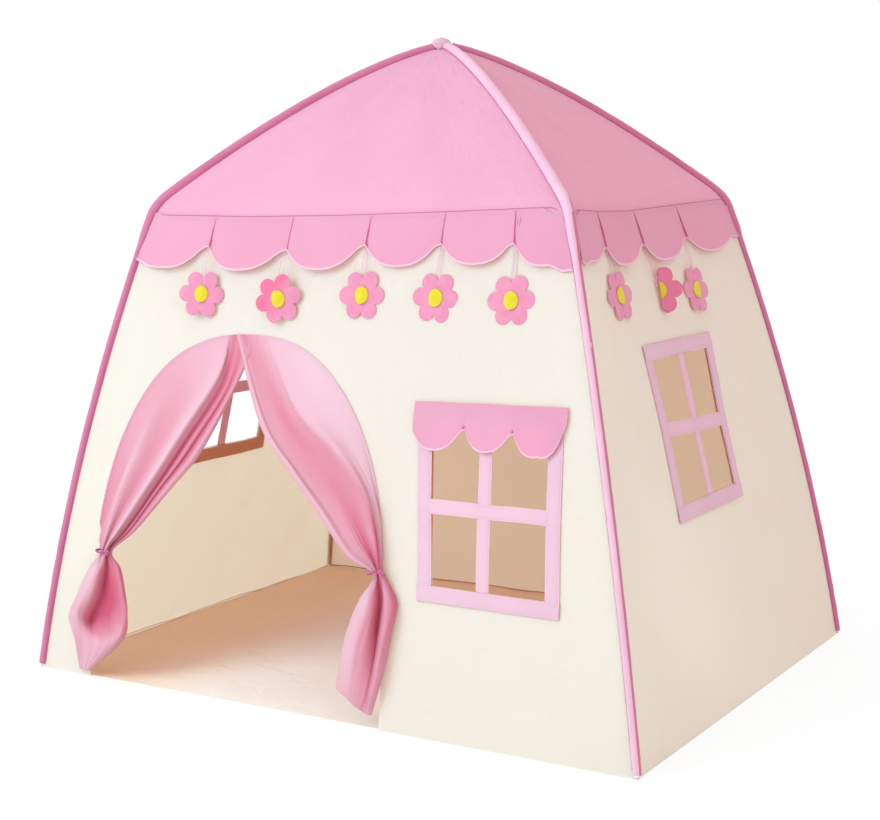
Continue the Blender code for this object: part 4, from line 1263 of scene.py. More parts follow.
def valance(side):
    """The strip of one side, from pocket to pocket."""
    edges = notch_edges(side)
    half = -edges[0]
    slit_shades = (0, *SLIT_SHADES[side], 0)
    leans = (0, *SLIT_LEANS[side], 0)
    drops, depths = NOTCH_DROPS[side], TAB_DEPTHS[side]

    def tab_point(column, row):
        """The tab, the share of its width, the left edge, the place along and the drop."""
        tab, q = tab_share(column)
        up = 1 - TAB_ROWS[row]
        left = edges[tab] + leans[tab] * up
        right = edges[tab + 1] + leans[tab + 1] * up
        drop = tab_drop(q, drops[tab], drops[tab + 1], depths[tab]) * TAB_ROWS[row]
        return tab, q, left, left + (right - left) * q, drop

    # Painted shade along the slit beside each notch.
    def painted_shade(column, row):
        tab, _, left, along, drop = tab_point(column, row)
        shows = SLIT_SHADE_LINE + slit_shades[tab] * TAB_ROWS[row] ** 2 if tab else 0.0
        return smooth((shows - (along - left)) / SLIT_SHADE_LINE + 0.5) * smooth(drop / 0.006)

    def place(column, row):
        tab, q, _, along, drop = tab_point(column, row)
        height = seam_height(side, along) + LAP - (drop + LAP * TAB_ROWS[row]) * 0.98
        along *= wall_half(side, height) / half * 0.9995
        tile = TILE * (1 - q) ** 1.3 * min(1.0, drop / 0.03)
        sway = noise.noise(Vector((along * 6, tab * 3.3, SLACK_SEED[side])))
        flutter = FLUTTER * (drop / DEPTH) ** 2 * (1 + sway)
        hem = VALANCE_HEM_RISE * hem_rise(row)
        lift = STANDOFF + tile + flutter + hem - slack(side, along, height)
        return skin(side, along, height, lift)

    return tab_strip(f"valance_{side}", len(edges) - 1, place, painted_shade, (2 * half, DEPTH))


for side in SIDES:
    strip = face_towards(valance(side), SIDES[side][1])
    soften(thicken(strip, outward=True), 40)
    settle(strip, "tent", f"eave_valance_{side}", slot="pink_valance_cloth")
    width = 2 * wall_half(side, SEAM_HEIGHT - DEPTH)
print("valances:", len(SIDES))

# %% [markdown]
# ## Window tapes
#
# A window is edged with four strips of pink tape and crossed by two more. Each strip is sewn
# on by itself, so the ends overlap at the corners and the tape is slightly puffed between
# its two rows of stitches.

# %% One strip of tape
TAPE_THICKNESS = 0.0009
TAPE_COLUMNS, TAPE_STEP = 6, 0.006
TAPE_PUFF, TAPE_RUFFLE = 0.0011, 0.0006
# The columns that the two rows of stitches run down, and how far off the tape they lie.
STITCHED_COLUMNS, STITCH_LIFT = (0.75, 5.25), 0.0002
SEAM_LINES_OF_TAPES = []


def tape(name, side, start, end, width, lift, wander):
    """A strip of tape on a wall, from start to end, each given as (along, height)."""
    length = (end - start).length
    ahead = (end - start).normalized()
    beside = Vector((ahead.y, -ahead.x))
    steps = max(6, int(length / TAPE_STEP))

    def place(column, row, over=0.0):
        t = row / steps
        q = column / TAPE_COLUMNS
        curve = wander * noise.noise(Vector((t * 3, length * 20, lift * 900)))
        ruffle = TAPE_RUFFLE * noise.noise(Vector((t * length * 90, q * 2, length * 9)))
        spot = start.lerp(end, t) + beside * ((q - 0.5) * width + curve)
        puff = TAPE_PUFF * (1 - (2 * q - 1) ** 2) * min(1.0, 12 * min(t, 1 - t) + 0.3)
        return skin(side, spot.x, spot.y, lift + puff + ruffle + over)

    if lift >= 0:
        over = TAPE_THICKNESS + STITCH_LIFT
        for column in STITCHED_COLUMNS:
            SEAM_LINES_OF_TAPES.append([place(column, row, over) for row in range(steps + 1)])
    made = sheet_of(name, TAPE_COLUMNS, steps, place, (width, length), TAPE)
    return thicken(face_towards(made, SIDES[side][1]), TAPE_THICKNESS, outward=True)


def edge_strips(side, inset, overlap=0.0):
    """The four edges of a window as (name, start, end), moved in by an inset."""
    low_left, low_right, top_right, top_left = window_corners(side)
    across, up = Vector((inset, 0)), Vector((0, inset))
    over = Vector((overlap, 0))
    return (("left", low_left + across, top_left + across),
            ("right", low_right - across, top_right - across),
            ("top", top_left - up, top_right - up),
            ("bottom", low_left + up - over, low_right + up))


# %% [markdown]
# The wall's raw edge is hidden between two tapes: the pink one outside and a plain one
# behind it, whose orange-brown colour is painted shade, as the tape looks through the wall
# from inside. The cross is sewn on last in the middle of the opening, never quite straight.

# %% Window frames
MUNTIN = 0.025
EDGE_OVERLAP, TUCKED_END = 0.001, 0.006
TAPE_WANDER, BACKING_WANDER = 0.0012, 0.0006
BACKING_GAP = 0.0022


def window_backing(side):
    """Strips behind the window, on the inner face of its wall, in an orange-brown of painted shade."""
    behind = -CLOTH_THICKNESS - TAPE_THICKNESS - BACKING_GAP
    pieces = [tape(f"backing_{side}_{part}", side, start, end, STRIP, behind, BACKING_WANDER)
              for part, start, end in edge_strips(side, STRIP / 2)]
    made = join(f"window_backing_{side}", pieces)
    settle(dress(soften(made), BACKING_PAINTED_SHADE), "tent", slot="pink_window_tape")


TAPE_LIFTS = {"left": 0.0008, "right": 0.0008, "top": 0.0020, "bottom": 0.0020}
# Where the cross of tapes is sewn, as shifts of its ends from the middles of the edges.
CROSS_SHIFTS = {
    "front": {"upright": (-0.010, -0.007), "crossbar": (-0.005, -0.006)},
    "right": {"upright": (0.0, 0.0), "crossbar": (0.006, -0.006)},
    "left": {"upright": (0.002, -0.002), "crossbar": (-0.004, 0.004)},
}


def window_tapes(side):
    """The frame and the cross of one window."""
    low_left, low_right, top_right, top_left = window_corners(side)
    strips = [(part, start, end, STRIP, TAPE_LIFTS[part])
              for part, start, end in edge_strips(side, STRIP / 2, EDGE_OVERLAP)]
    hidden = STRIP - TUCKED_END
    low_shift, top_shift = CROSS_SHIFTS[side]["upright"]
    low = (low_left + low_right) / 2 + Vector((low_shift, hidden))
    top = (top_left + top_right) / 2 + Vector((top_shift, -hidden))
    strips.append(("upright", low, top, MUNTIN, 0.0))
    left_shift, right_shift = CROSS_SHIFTS[side]["crossbar"]
    left = (low_left + top_left) / 2 + Vector((hidden, left_shift))
    right = (low_right + top_right) / 2 + Vector((-hidden, right_shift))
    strips.append(("crossbar", left, right, MUNTIN, 0.0012))
    pieces = [tape(f"tape_{side}_{part}", side, start, end, wide, lift, TAPE_WANDER)
              for part, start, end, wide, lift in strips]
    made = soften(join(f"window_tapes_{side}", pieces), 50)
    settle(made, "tent", f"window_frame_{side}", slot="pink_window_tape")


for side in WINDOWS:
    window_tapes(side)
    window_backing(side)
print("windows:", list(WINDOWS))

# %% [markdown]
# ## Awning
#
# Over the front window hangs a short strip with three scallops. It is sewn along its top
# edge only, so a child can lift it.

# %% Awning
AWNING_HALF = 0.150
AWNING_MIDDLE = 0.336
AWNING_DROPS = (0.052, 0.046, 0.049, 0.024)
AWNING_DEPTHS = (0.085, 0.084, 0.0875)
AWNING_DEPTH = 0.086
AWNING_NOTCHES = (0.345, 0.668)
AWNING_EDGES = (-AWNING_HALF, *[AWNING_HALF * (2 * share - 1) for share in AWNING_NOTCHES],
                AWNING_HALF)
AWNING_TOP, AWNING_TILT = 0.5804, 0.003
AWNING_STANDOFF, AWNING_TILE = 0.0036, 0.0012
AWNING_WAVE = 0.003
AWNING_HEM_RISE = 0.0006
LAST_TAB = len(AWNING_DEPTHS) - 1


def awning_place(column, row):
    tab, q = tab_share(column)
    along = AWNING_EDGES[tab] + (AWNING_EDGES[tab + 1] - AWNING_EDGES[tab]) * q
    drop = tab_drop(q, AWNING_DROPS[tab], AWNING_DROPS[tab + 1], AWNING_DEPTHS[tab],
                    tab == LAST_TAB)
    drop *= TAB_ROWS[row]
    wave = noise.noise(Vector((along * 16, 1.7, 0.4)))
    height = AWNING_TOP + AWNING_TILT * along / AWNING_HALF - drop * 0.98 + 0.0012 * wave
    tile = AWNING_TILE * (1 - q) * min(1.0, drop / 0.02)
    swing = (AWNING_WAVE + AWNING_WAVE * wave) * (drop / AWNING_DEPTH)
    lift = AWNING_STANDOFF + tile + swing
    lift += AWNING_HEM_RISE * hem_rise(row)
    return skin("front", AWNING_MIDDLE + along, height, lift)


def awning_notch_shade(column, row):
    """A dark spot of painted shade beside each notch of the awning."""
    tab, q = tab_share(column)
    if tab == LAST_TAB:
        return 0.0
    return smooth((q - 0.93) / 0.04) * smooth((TAB_ROWS[row] - 0.80) / 0.08)


awning = tab_strip("awning", LAST_TAB + 1, awning_place, awning_notch_shade,
                   (2 * AWNING_HALF, AWNING_DEPTH))
face_towards(awning, SIDES["front"][1])
soften(thicken(awning, outward=True), 40)
settle(awning, "awning", "window_awning", slot="pink_valance_cloth")
print("awning:", 2 * AWNING_HALF, "x", AWNING_DEPTH, "m")

# %% [markdown]
# ## Curtains
#
# Each curtain is one piece of satin: sewn along its half of the arch, gathered by the tie,
# and free below it. It could be dropped as simulated cloth, but a tied curtain needs its
# folds where the tailor put them, so the folds are drawn: wide and shallow at the arch,
# narrow and deep at the neck, and opening again in the tail.

# %% Fold lines
SATIN_THICKNESS = 0.0009
PICTURE_WIDTH, PICTURE_HEIGHT = 880, 820
MILLIMETRE = 0.001
COLUMNS_A_FOLD, ROWS_A_STRETCH = 15, 13
NECK_ROW = 5
# Each fold line of a curtain, from the wall side to the free edge: its share of the arch, its
# painted shade at each point from 0 to 9, and then its points from the first below the arch
# to the hem, as the picture's pixels and the lift off the wall in millimetres.
LEFT_FOLDS_px = (
    (0.19, "65555411145", (100, 530, 1), (99, 538, 2), (99, 544, 3), (99, 548, 4), (100, 552, 6),
     (87, 572, 4), (77, 595, 4), (69, 617, 5), (75, 640, 4), (80, 669, 3)),
    (0.46, "43122401243", (144, 422, 10), (130, 462, 14), (117, 497, 14), (108, 528, 12), (101, 551, 12),
     (92, 571, 26), (84, 592, 34), (75, 615, 30), (80, 640, 18), (81, 669, 8)),
    (0.66, "34555412422", (172, 408, 5), (149, 459, 5), (131, 494, 5), (114, 526, 6), (103, 551, 9),
     (96, 573, 30), (90, 595, 36), (81, 617, 26), (85, 642, 22), (83, 670, 10)),
    (0.90, "21001277832", (212, 381, 15), (168, 450, 21), (144, 488, 22), (118, 529, 20), (105, 551, 19),
     (102, 573, 18), (97, 596, 20), (88, 620, 12), (90, 643, 26), (84, 670, 12)),
    (0.935, "54333488922", (217, 384, 7), (174, 451, 9), (149, 489, 9), (121, 530, 9), (106, 551, 12),
     (105, 574, 7), (101, 597, 5), (92, 621, 3), (96, 644, 30), (86, 670, 14)),
    (0.95, "78999899832", (221, 386, 2), (179, 450, 2), (153, 489, 2), (124, 531, 3), (107, 552, 6),
     (108, 573, 9), (106, 598, 7), (99, 620, 3), (102, 645, 33), (87, 670, 15)),
    (0.965, "66555689822", (226, 387, 6), (186, 449, 8), (157, 489, 7), (126, 532, 6), (108, 552, 10),
     (111, 572, 13), (112, 599, 9), (108, 619, 3), (108, 645, 34), (88, 670, 15)),
    (0.985, "77889878623", (229, 388, 3), (190, 449, 3), (160, 488, 3), (128, 532, 3), (109, 552, 7),
     (114, 571, 15), (117, 598, 11), (116, 618, 5), (114, 644, 30), (90, 670, 13)),
    (1.005, "54334566633", (232, 389, 8), (197, 450, 13), (165, 489, 12), (131, 532, 10), (110, 552, 11),
     (117, 570, 15), (122, 597, 13), (123, 616, 11), (119, 642, 22), (91, 669, 10)),
    (1.02, "65445555544", (234, 390, 4), (201, 451, 7), (169, 490, 7), (134, 531, 6), (111, 552, 7),
     (120, 570, 8), (125, 595, 6), (127, 614, 6), (123, 640, 8), (92, 668, 5)),
)
RIGHT_FOLDS_px = (
    (0.20, "01112487544", (381, 551, 1), (381, 556, 2), (381, 560, 3), (381, 565, 4), (381, 570, 6),
     (390, 588, 6), (396, 605, 6), (391, 633, 6), (384, 668, 6), (374, 704, 4)),
    (0.50, "00012756543", (371, 488, 6), (376, 510, 8), (378, 531, 9), (380, 553, 10), (380, 570, 12),
     (387, 594, 16), (390, 614, 18), (385, 642, 18), (379, 680, 16), (371, 715, 8)),
    (0.78, "00014534433", (335, 425, 8), (355, 466, 12), (369, 504, 14), (376, 543, 14), (379, 571, 14),
     (384, 597, 14), (383, 622, 18), (379, 650, 22), (373, 690, 22), (367, 715, 12)),
    (0.93, "11149988754", (299, 409, 13), (335, 450, 19), (361, 490, 21), (373, 530, 20), (378, 571, 17),
     (381, 598, 3), (378, 625, 4), (375, 652, 12), (368, 693, 22), (363, 713, 13)),
    (0.965, "24554799754", (294, 412, 6), (329, 455, 7), (356, 495, 7), (370, 535, 8), (377, 572, 10),
     (378, 600, 5), (376, 626, 8), (371, 656, 20), (364, 694, 26), (359, 710, 14)),
    (1.00, "46568966543", (284, 417, 3), (316, 461, 2), (344, 502, 2), (364, 541, 2), (376, 572, 6),
     (374, 601, 18), (370, 626, 24), (364, 656, 30), (358, 691, 28), (354, 707, 14)),
    (1.02, "64544544433", (275, 421, 3), (306, 466, 3), (335, 508, 4), (357, 547, 8), (375, 573, 12),
     (370, 601, 24), (365, 624, 30), (357, 653, 32), (352, 688, 28), (349, 702, 14)),
    (1.032, "43333411112", (268, 424, 6), (298, 470, 6), (327, 511, 6), (352, 552, 9), (374, 574, 10),
     (366, 600, 24), (359, 622, 30), (351, 650, 30), (346, 684, 26), (344, 697, 12)),
    (1.037, "21111200011", (264, 425, 12), (294, 473, 14), (323, 515, 14), (349, 555, 14), (373, 575, 12),
     (362, 599, 18), (354, 621, 22), (346, 647, 22), (340, 681, 18), (339, 693, 10)),
    (1.042, "32223421122", (260, 425, 8), (290, 475, 9), (320, 519, 9), (346, 558, 10), (372, 575, 8),
     (359, 600, 7), (350, 620, 7), (342, 646, 7), (336, 680, 7), (336, 690, 5)),
)


# A pixel's ray is followed to the wall in a few steps, from a first guess in metres.
FIRST_TRAVEL, TRAVEL_STEPS = 3.0, 12


def seen(across, down, lift):
    """The place on the front wall, or lifted off it, at a pixel of the picture."""
    focal = LENS / SENSOR * PICTURE_WIDTH
    ray = Vector(((across - PICTURE_WIDTH / 2) / focal, (PICTURE_HEIGHT / 2 - down) / focal, -1))
    ray.rotate(camera_turn(CAMERA_YAW, CAMERA_PITCH, CAMERA_ROLL))
    travel = FIRST_TRAVEL
    for _ in range(TRAVEL_STEPS):
        spot = CAMERA_PLACE + ray * travel
        travel -= (spot.y + wall_depth("front", spot.z) + lift) / ray.y
    return Vector((spot.x, spot.z, lift))


def smooth_line(points, share):
    """A curve through all of the points; share runs from 0 to the number of the last one."""
    number = min(int(share), len(points) - 2)
    t = share - number
    before, start = points[max(number - 1, 0)], points[number]
    end, after = points[number + 1], points[min(number + 2, len(points) - 1)]
    first, second = (end - before) / 2, (after - start) / 2
    return (start * (2 * t ** 3 - 3 * t ** 2 + 1) + first * (t ** 3 - 2 * t ** 2 + t)
            + end * (3 * t ** 2 - 2 * t ** 3) + second * (t ** 3 - t ** 2))


def seam_place(hand, share):
    """A point of the arch: beyond a share of 1 it runs down the other side."""
    angle = pi / 2 * share
    half, height = arch(min(angle, pi - angle))
    return Vector((DOOR_CENTRE + hand * half * (1 if share <= 1 else -1), height, MILLIMETRE))


def fold_lines(hand, table):
    """Each fold line of a curtain, from the arch to the hem."""
    lines = []
    for share, _, *points in table:
        line = [seam_place(hand, share)]
        line += [seen(x, y, lift * MILLIMETRE) for x, y, lift in points]
        lines.append(line)
    return lines


print("fold lines:", len(LEFT_FOLDS_px), "and", len(RIGHT_FOLDS_px))

# %% [markdown]
# A curtain's sheet is stretched over its fold lines, row by row. Its top edge is drawn to the
# arch itself, so that no gap opens there. Fine pleats gather it at the neck, and a slight
# ripple breaks up the rest.

# %% Curtain sheets
FINE_PLEATS, PLEAT_DEPTH = 26, 0.0010
GATHER_ABOVE, GATHER_BELOW = 2.2, 1.2
RIPPLE_DEPTH = 0.0012
LEAST_LIFT, LEAST_HEIGHT = 0.0008, 0.004
CURTAIN_FLAT, CURTAIN_AREA = (0.345, 0.70), 0.15
# Two spots this far below the neck and this far off the wall are worked out, but nothing uses them.
BEND_START, BEND_END, BEND_LIFT = 0.004, 0.026, 0.02


def curtain(name, hand, table):
    """One curtain, and the middle of its neck."""
    lines = fold_lines(hand, table)
    columns = COLUMNS_A_FOLD * (len(lines) - 1)
    rows = ROWS_A_STRETCH * (len(lines[0]) - 1)
    knots = [[smooth_line(line, row / ROWS_A_STRETCH) for line in lines] for row in range(rows + 1)]
    shares = [line[0] for line in table]
    fold_shades = [list(enumerate(int(digit) / 9 for digit in line[1])) for line in table]

    # Painted shade at a point of the sheet, from the digits of the fold lines on either side.
    def fold_shade(column, row):
        across, down = column / COLUMNS_A_FOLD, row / ROWS_A_STRETCH
        number = min(int(across), len(fold_shades) - 2)
        first, second = (table_value(fold_shades[number + step], down) for step in (0, 1))
        return first + (second - first) * smooth(across - number)

    def place(column, row):
        across, down = column / COLUMNS_A_FOLD, row / ROWS_A_STRETCH
        spot = smooth_line(knots[row], across)
        sewn = seam_place(hand, smooth_line(shares, across))
        spot += (sewn - smooth_line(knots[0], across)) * max(0.0, 1 - down) ** 2
        near = down - NECK_ROW
        gather = max(0.0, 1 - abs(near) / (GATHER_ABOVE if near < 0 else GATHER_BELOW))
        pleat = PLEAT_DEPTH * gather * cos(2 * pi * FINE_PLEATS * column / columns)
        ripple = RIPPLE_DEPTH * noise.noise(Vector((column * 0.11, row * 0.05, hand * 3.0)))
        lift = max(LEAST_LIFT, spot.z + (pleat + ripple) * min(1.0, down))
        lap = 0.5 * hand * MILLIMETRE * max(0.0, -near - 3) / 2
        return skin("front", spot.x, max(spot.y, LEAST_HEIGHT), lift + lap)

    made = sheet_of(f"curtain_{name}_cloth", columns, rows, place, CURTAIN_FLAT, SATIN)
    mark(made, "fold", [fold_shade(column, row) for row in range(rows + 1)
                        for column in range(columns + 1)])
    if sum(face.normal.y for face in made.data.polygons) > 0:
        made.data.flip_normals()
    thicken(made, SATIN_THICKNESS, outward=True)
    soften(made, 80)
    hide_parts(f"curtain_{name}", f"curtain_tail_{name}")
    neck = seen(*table[4][NECK_ROW + 1][:2], 0.0)
    print(made.name, "area", round(sum(face.area for face in made.data.polygons) / 2, 4))
    skin("front", neck.x, neck.y - BEND_START, BEND_LIFT)
    skin("front", neck.x, neck.y - BEND_END, BEND_LIFT)
    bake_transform(made)
    return neck


LEFT_NECK = curtain("left", -1, LEFT_FOLDS_px)
RIGHT_NECK = curtain("right", 1, RIGHT_FOLDS_px)
print("necks at", LEFT_NECK, RIGHT_NECK)

# %% [markdown]
# ## Tie-backs
#
# A band of deep pink cloth goes round each neck and ends in two short ends. The band is a
# closed ring, pulled a little slanting by the weight of the curtain.

# %% Tie-backs
TIE_HALF_WIDTH, TIE_THICKNESS, TIE_PUFF = 0.0022, 0.0009, 0.0009
TIE_ROUNDS, TIE_ROWS = 48, 6
NECK_MIDDLE = 0.0125
NECK_HALF_WIDTH, NECK_HALF_DEPTH = 0.0128, 0.0145
# Each end's reach to the right and its rise, and how wide it starts and how much it widens.
TIE_ENDS = ((0.014, 0.003), (0.011, -0.003))
END_COLUMNS, END_ROWS = 4, 12
END_WIDTH, END_FLARE, END_THICKNESS = 0.0014, 0.0012, 0.0008
END_START, END_LIFT, END_SWING = 0.012, 0.022, 0.002


def tie_band(name, neck, slant):
    """The ring of a tie-back."""

    def place(column, row):
        angle = 2 * pi * (column % TIE_ROUNDS) / TIE_ROUNDS
        level = 2 * row / TIE_ROWS - 1
        height = neck.y + TIE_HALF_WIDTH * level + slant * cos(angle)
        puff = TIE_PUFF * (1 - level ** 2)
        ruffle = 1 + 0.04 * noise.noise(Vector((cos(angle) * 3, sin(angle) * 3, row * 0.3)))
        return skin("front", neck.x + (NECK_HALF_WIDTH + puff) * ruffle * cos(angle), height,
                    NECK_MIDDLE + (NECK_HALF_DEPTH + puff) * ruffle * sin(angle))

    band = sheet_of(f"tie_band_{name}", TIE_ROUNDS, TIE_ROWS, place, (0.1, 0.01), PIPING_CLOTH)
    return thicken(turn_outwards(weld(band)), TIE_THICKNESS)


def tie_end(name, neck, number):
    """One of the two short ends, which stand off to the right."""
    reach, drop = TIE_ENDS[number]

    def place(column, row):
        t = row / END_ROWS
        width = END_WIDTH + END_FLARE * t
        curl = 0.003 * sin(pi * t) + 0.002 * sin(5 * t + number)
        height = neck.y + drop * t + curl + width * (2 * column / END_COLUMNS - 1)
        return skin("front", neck.x + END_START + reach * t, height, END_LIFT + END_SWING * t)

    end = sheet_of(f"tie_end_{name}_{number}", END_COLUMNS, END_ROWS, place, (0.008, 0.02),
                   PIPING_CLOTH)
    return thicken(end, END_THICKNESS)


for name, neck, slant in (("left", LEFT_NECK, -0.002), ("right", RIGHT_NECK, 0.004)):
    ends = [tie_end(name, neck, number) for number in range(len(TIE_ENDS))]
    tie = soften(join(f"tie_{name}", [tie_band(name, neck, slant), *ends]))
    settle(tie, "tent", f"curtain_tie_{name}", slot="deep_pink_sleeve_cloth")
    print("tie", name, "faces:", len(tie.data.polygons))

# %% [markdown]
# ## Seam lines and stitches
#
# Thin rolled seams run along the eave and round the arch, and each tape is held by two rows
# of stitches. One stitch is modelled as a small round bead. An Array modifier repeats it at
# the machine's pitch, and a Curve modifier lays the row along its seam.

# %% Seam lines and stitches
STITCH_LENGTH, STITCH_PITCH, STITCH_RADIUS = 0.0028, 0.0042, 0.0004
EAVE_ROLL, ARCH_ROLL, ROLL_SIDES = 0.0006, 0.0008, 6
EAVE_STEPS, ARCH_STEPS, AWNING_STEPS = 80, 120, 30
EAVE_SEAM_share = 0.965
ARCH_START_share = 0.19
STITCH_RISE = 0.0008


def stitch_row(points):
    """A row of stitches laid along a line of points."""
    guide = line_object("stitch_guide", points)
    deselect()
    bpy.ops.mesh.primitive_ico_sphere_add(subdivisions=1, radius=1.0)
    row = bpy.context.active_object
    for point in row.data.vertices:
        x, y, z = point.co
        point.co = Vector((x * STITCH_LENGTH / 2 + STITCH_PITCH / 2, y * STITCH_RADIUS,
                           z * STITCH_RADIUS))
    modify(row, "ARRAY", fit_type="FIT_CURVE", curve=guide, use_relative_offset=False,
           use_constant_offset=True, constant_offset_displace=(STITCH_PITCH, 0, 0))
    modify(row, "CURVE", object=guide, deform_axis="POS_X")
    bpy.data.objects.remove(guide)
    return dress(row, THREAD)


def eave_line(side, below, lift):
    """Points along the eave seam, from corner to corner."""
    half = wall_half(side, SEAM_HEIGHT) * EAVE_SEAM_share
    line = []
    for step in range(EAVE_STEPS + 1):
        along = half * (2 * step / EAVE_STEPS - 1)
        line.append(skin(side, along, seam_height(side, along) - below,
                         STANDOFF + CLOTH_THICKNESS + lift))
    return line


def arch_line(inset, lift):
    """Points round the door's arch, from one tie to the other."""
    line = []
    for step in range(ARCH_STEPS + 1):
        share = ARCH_START_share + (2 - 2 * ARCH_START_share) * step / ARCH_STEPS
        half, height = arch(pi / 2 * min(share, 2 - share), -inset)
        line.append(skin("front", DOOR_CENTRE + half * (-1 if share < 1 else 1), height, lift))
    return line


def awning_line(below):
    """Points along the awning's top edge."""
    line = []
    for step in range(AWNING_STEPS + 1):
        along = (AWNING_HALF - 0.002) * (2 * step / AWNING_STEPS - 1)
        height = AWNING_TOP + AWNING_TILT * along / AWNING_HALF - below
        line.append(skin("front", AWNING_MIDDLE + along, height,
                         AWNING_STANDOFF + CLOTH_THICKNESS + STITCH_RISE))
    return line


rows = [stitch_row(line) for line in SEAM_LINES_OF_TAPES]
rows += [stitch_row(eave_line(side, 0.004, STITCH_RISE)) for side in SIDES]
rows.append(stitch_row(arch_line(0.004, 0.0030)))
stitching = settle(join("stitching", rows), "tent", slot="pink_window_tape")
awning_stitching = stitch_row(awning_line(0.005))
awning_stitching.name = "awning_stitching"
settle(awning_stitching, "awning", slot="pink_window_tape")
rolls = [tube_along(f"eave_roll_{side}", eave_line(side, -LAP, 0.0), EAVE_ROLL, ROLL_SIDES,
                    PIPING_CLOTH) for side in SIDES]
rolls.append(tube_along("arch_roll", arch_line(0.0, 0.0016), ARCH_ROLL, ROLL_SIDES, THREAD))
settle(soften(join("rolled_seams", rolls)), "tent", slot="pink_window_tape")
print("stitch faces:", len(stitching.data.polygons))

# %% [markdown]
# ## Flowers on threads
#
# A felt flower hangs from each notch of the valance. It has six round petals round a yellow
# middle. Felt is cut from a flat piece, so the outline of a whole flower and of one middle
# are drawn, given a softly rounded face and a thickness, and then copied for each flower.

# %% Felt shapes
PETALS, PETAL_STEPS = 6, 14
PETAL_OFFSET, PETAL_RADIUS = 0.030, 0.0158
DISC_STEPS, DISC_RADIUS = 28, 0.0150
FELT_THICKNESS = 0.0020
# How far each step of the rounded face is set in, and how far it rises.
PETAL_FACE = ((0.0006, 0.0005), (0.0012, 0.0003))
DISC_FACE = ((0.0006, 0.0004), (0.0012, 0.0002))
PETAL_ARC = pi / PETALS + asin(PETAL_OFFSET * sin(pi / PETALS) / PETAL_RADIUS)
PETAL_WOBBLE = (1.0, 1.04, 0.97, 1.02, 0.96, 1.03)


def petal_outline(number):
    """A point of the flower's outline, where round petals run into each other."""
    petal, step = divmod(number, PETAL_STEPS)
    facing = 2 * pi * petal / PETALS
    angle = facing + PETAL_ARC * (2 * step / PETAL_STEPS - 1)
    reach = PETAL_RADIUS * (1 + (PETAL_WOBBLE[petal] - 1) * sin(pi * step / PETAL_STEPS))
    return Vector((PETAL_OFFSET * cos(facing) + reach * cos(angle),
                   PETAL_OFFSET * sin(facing) + reach * sin(angle), 0))


def disc_outline(number):
    angle = number * pi / (DISC_STEPS / 2)
    return Vector((cos(angle), sin(angle), 0)) * DISC_RADIUS


def felt_shape(count, outline, steps, material, fold=0.0):
    """A piece of felt cut to an outline, with a softly rounded face."""
    deselect()
    bpy.ops.mesh.primitive_circle_add(vertices=count, radius=1.0, fill_type="NGON")
    made = bpy.context.active_object
    for number, point in enumerate(made.data.vertices):
        point.co = outline(number)
    bpy.ops.object.mode_set(mode="EDIT")
    bpy.ops.mesh.select_all(action="SELECT")
    for thickness, rise in steps:
        bpy.ops.mesh.inset(thickness=thickness, depth=rise)
    bpy.ops.object.mode_set(mode="OBJECT")
    for point in made.data.vertices:
        point.co.z += fold * abs(point.co.x)
    dress(made, material)
    return modify(made, "SOLIDIFY", thickness=FELT_THICKNESS, offset=-1.0)


petals = felt_shape(PETALS * PETAL_STEPS, petal_outline, PETAL_FACE, FELT)
disc = felt_shape(DISC_STEPS, disc_outline, DISC_FACE, YELLOW_FELT, fold=-0.22)
# The middle is a little taller than wide, and lies on the petals.
for point in disc.data.vertices:
    point.co.x *= 0.92
    point.co.y *= 1.06
    point.co.z += 0.0026
print("petals:", len(petals.data.polygons), "middle:", len(disc.data.polygons), "faces")

# %% [markdown]
# A flower hangs in a frame of its own on the eave seam: X runs along the wall, Y up its
# slope and Z out of it. Each hangs a little differently, as the picture has them, and one on
# the right has folded over.

# %% One flower
FLOWER_DROP = 0.142
FLOWER_LIFT, LIFT_A_TURN = 0.0036, 0.045
DISC_SEAT, FOLDED_SEAT = 0.0022, -0.0010
# How each flower hangs: its turn in its own plane, its tip forward and its twist in degrees,
# and how far it has slid along the wall and down, in millimetres.
FLOWER_POSES = {
    "front_1": (0, 0, 14, -15, 9), "front_2": (17, 5, 12, -9, 13), "front_3": (2, 0, 5, 9, 0),
    "front_4": (-3, 0, 3, 10, 0), "front_5": (4, 0, 2, 19, 0), "right_1": (3, 0, -1, -12, 0),
    "right_2": (-6, 0, -12, -4, 1), "right_3": (-5, 0, -5, -24, 11), "left_1": (5, 0, 3, 6, 0),
    "left_2": (-3, 0, 6, -5, 4), "left_3": (2, 0, -5, 4, 2),
}
FOLDED_FLOWER, FOLD_ANGLE, FOLDED_share = "right_2", radians(150), 0.1
# This flower takes painted shade on the upper left of its petals.
SHADED_FLOWER = "front_2"


def side_matrix(side, along):
    """A frame on the eave seam: X across the wall, Y up its slope, Z out of it."""
    across, outward = SIDES[side]
    up = skin(side, 0, SEAM_HEIGHT) - skin(side, 0, SEAM_HEIGHT - DEPTH)
    up = (up - across * up.dot(across)).normalized()
    origin = across * along + outward * wall_depth(side, SEAM_HEIGHT) + UP * SEAM_HEIGHT
    turn = Matrix((across, up, across.cross(up))).transposed().to_4x4()
    return Matrix.Translation(origin) @ turn


def copy_of(piece, matrix):
    made = piece.copy()
    made.data = piece.data.copy()
    bpy.context.collection.objects.link(made)
    made.data.transform(matrix)
    return made


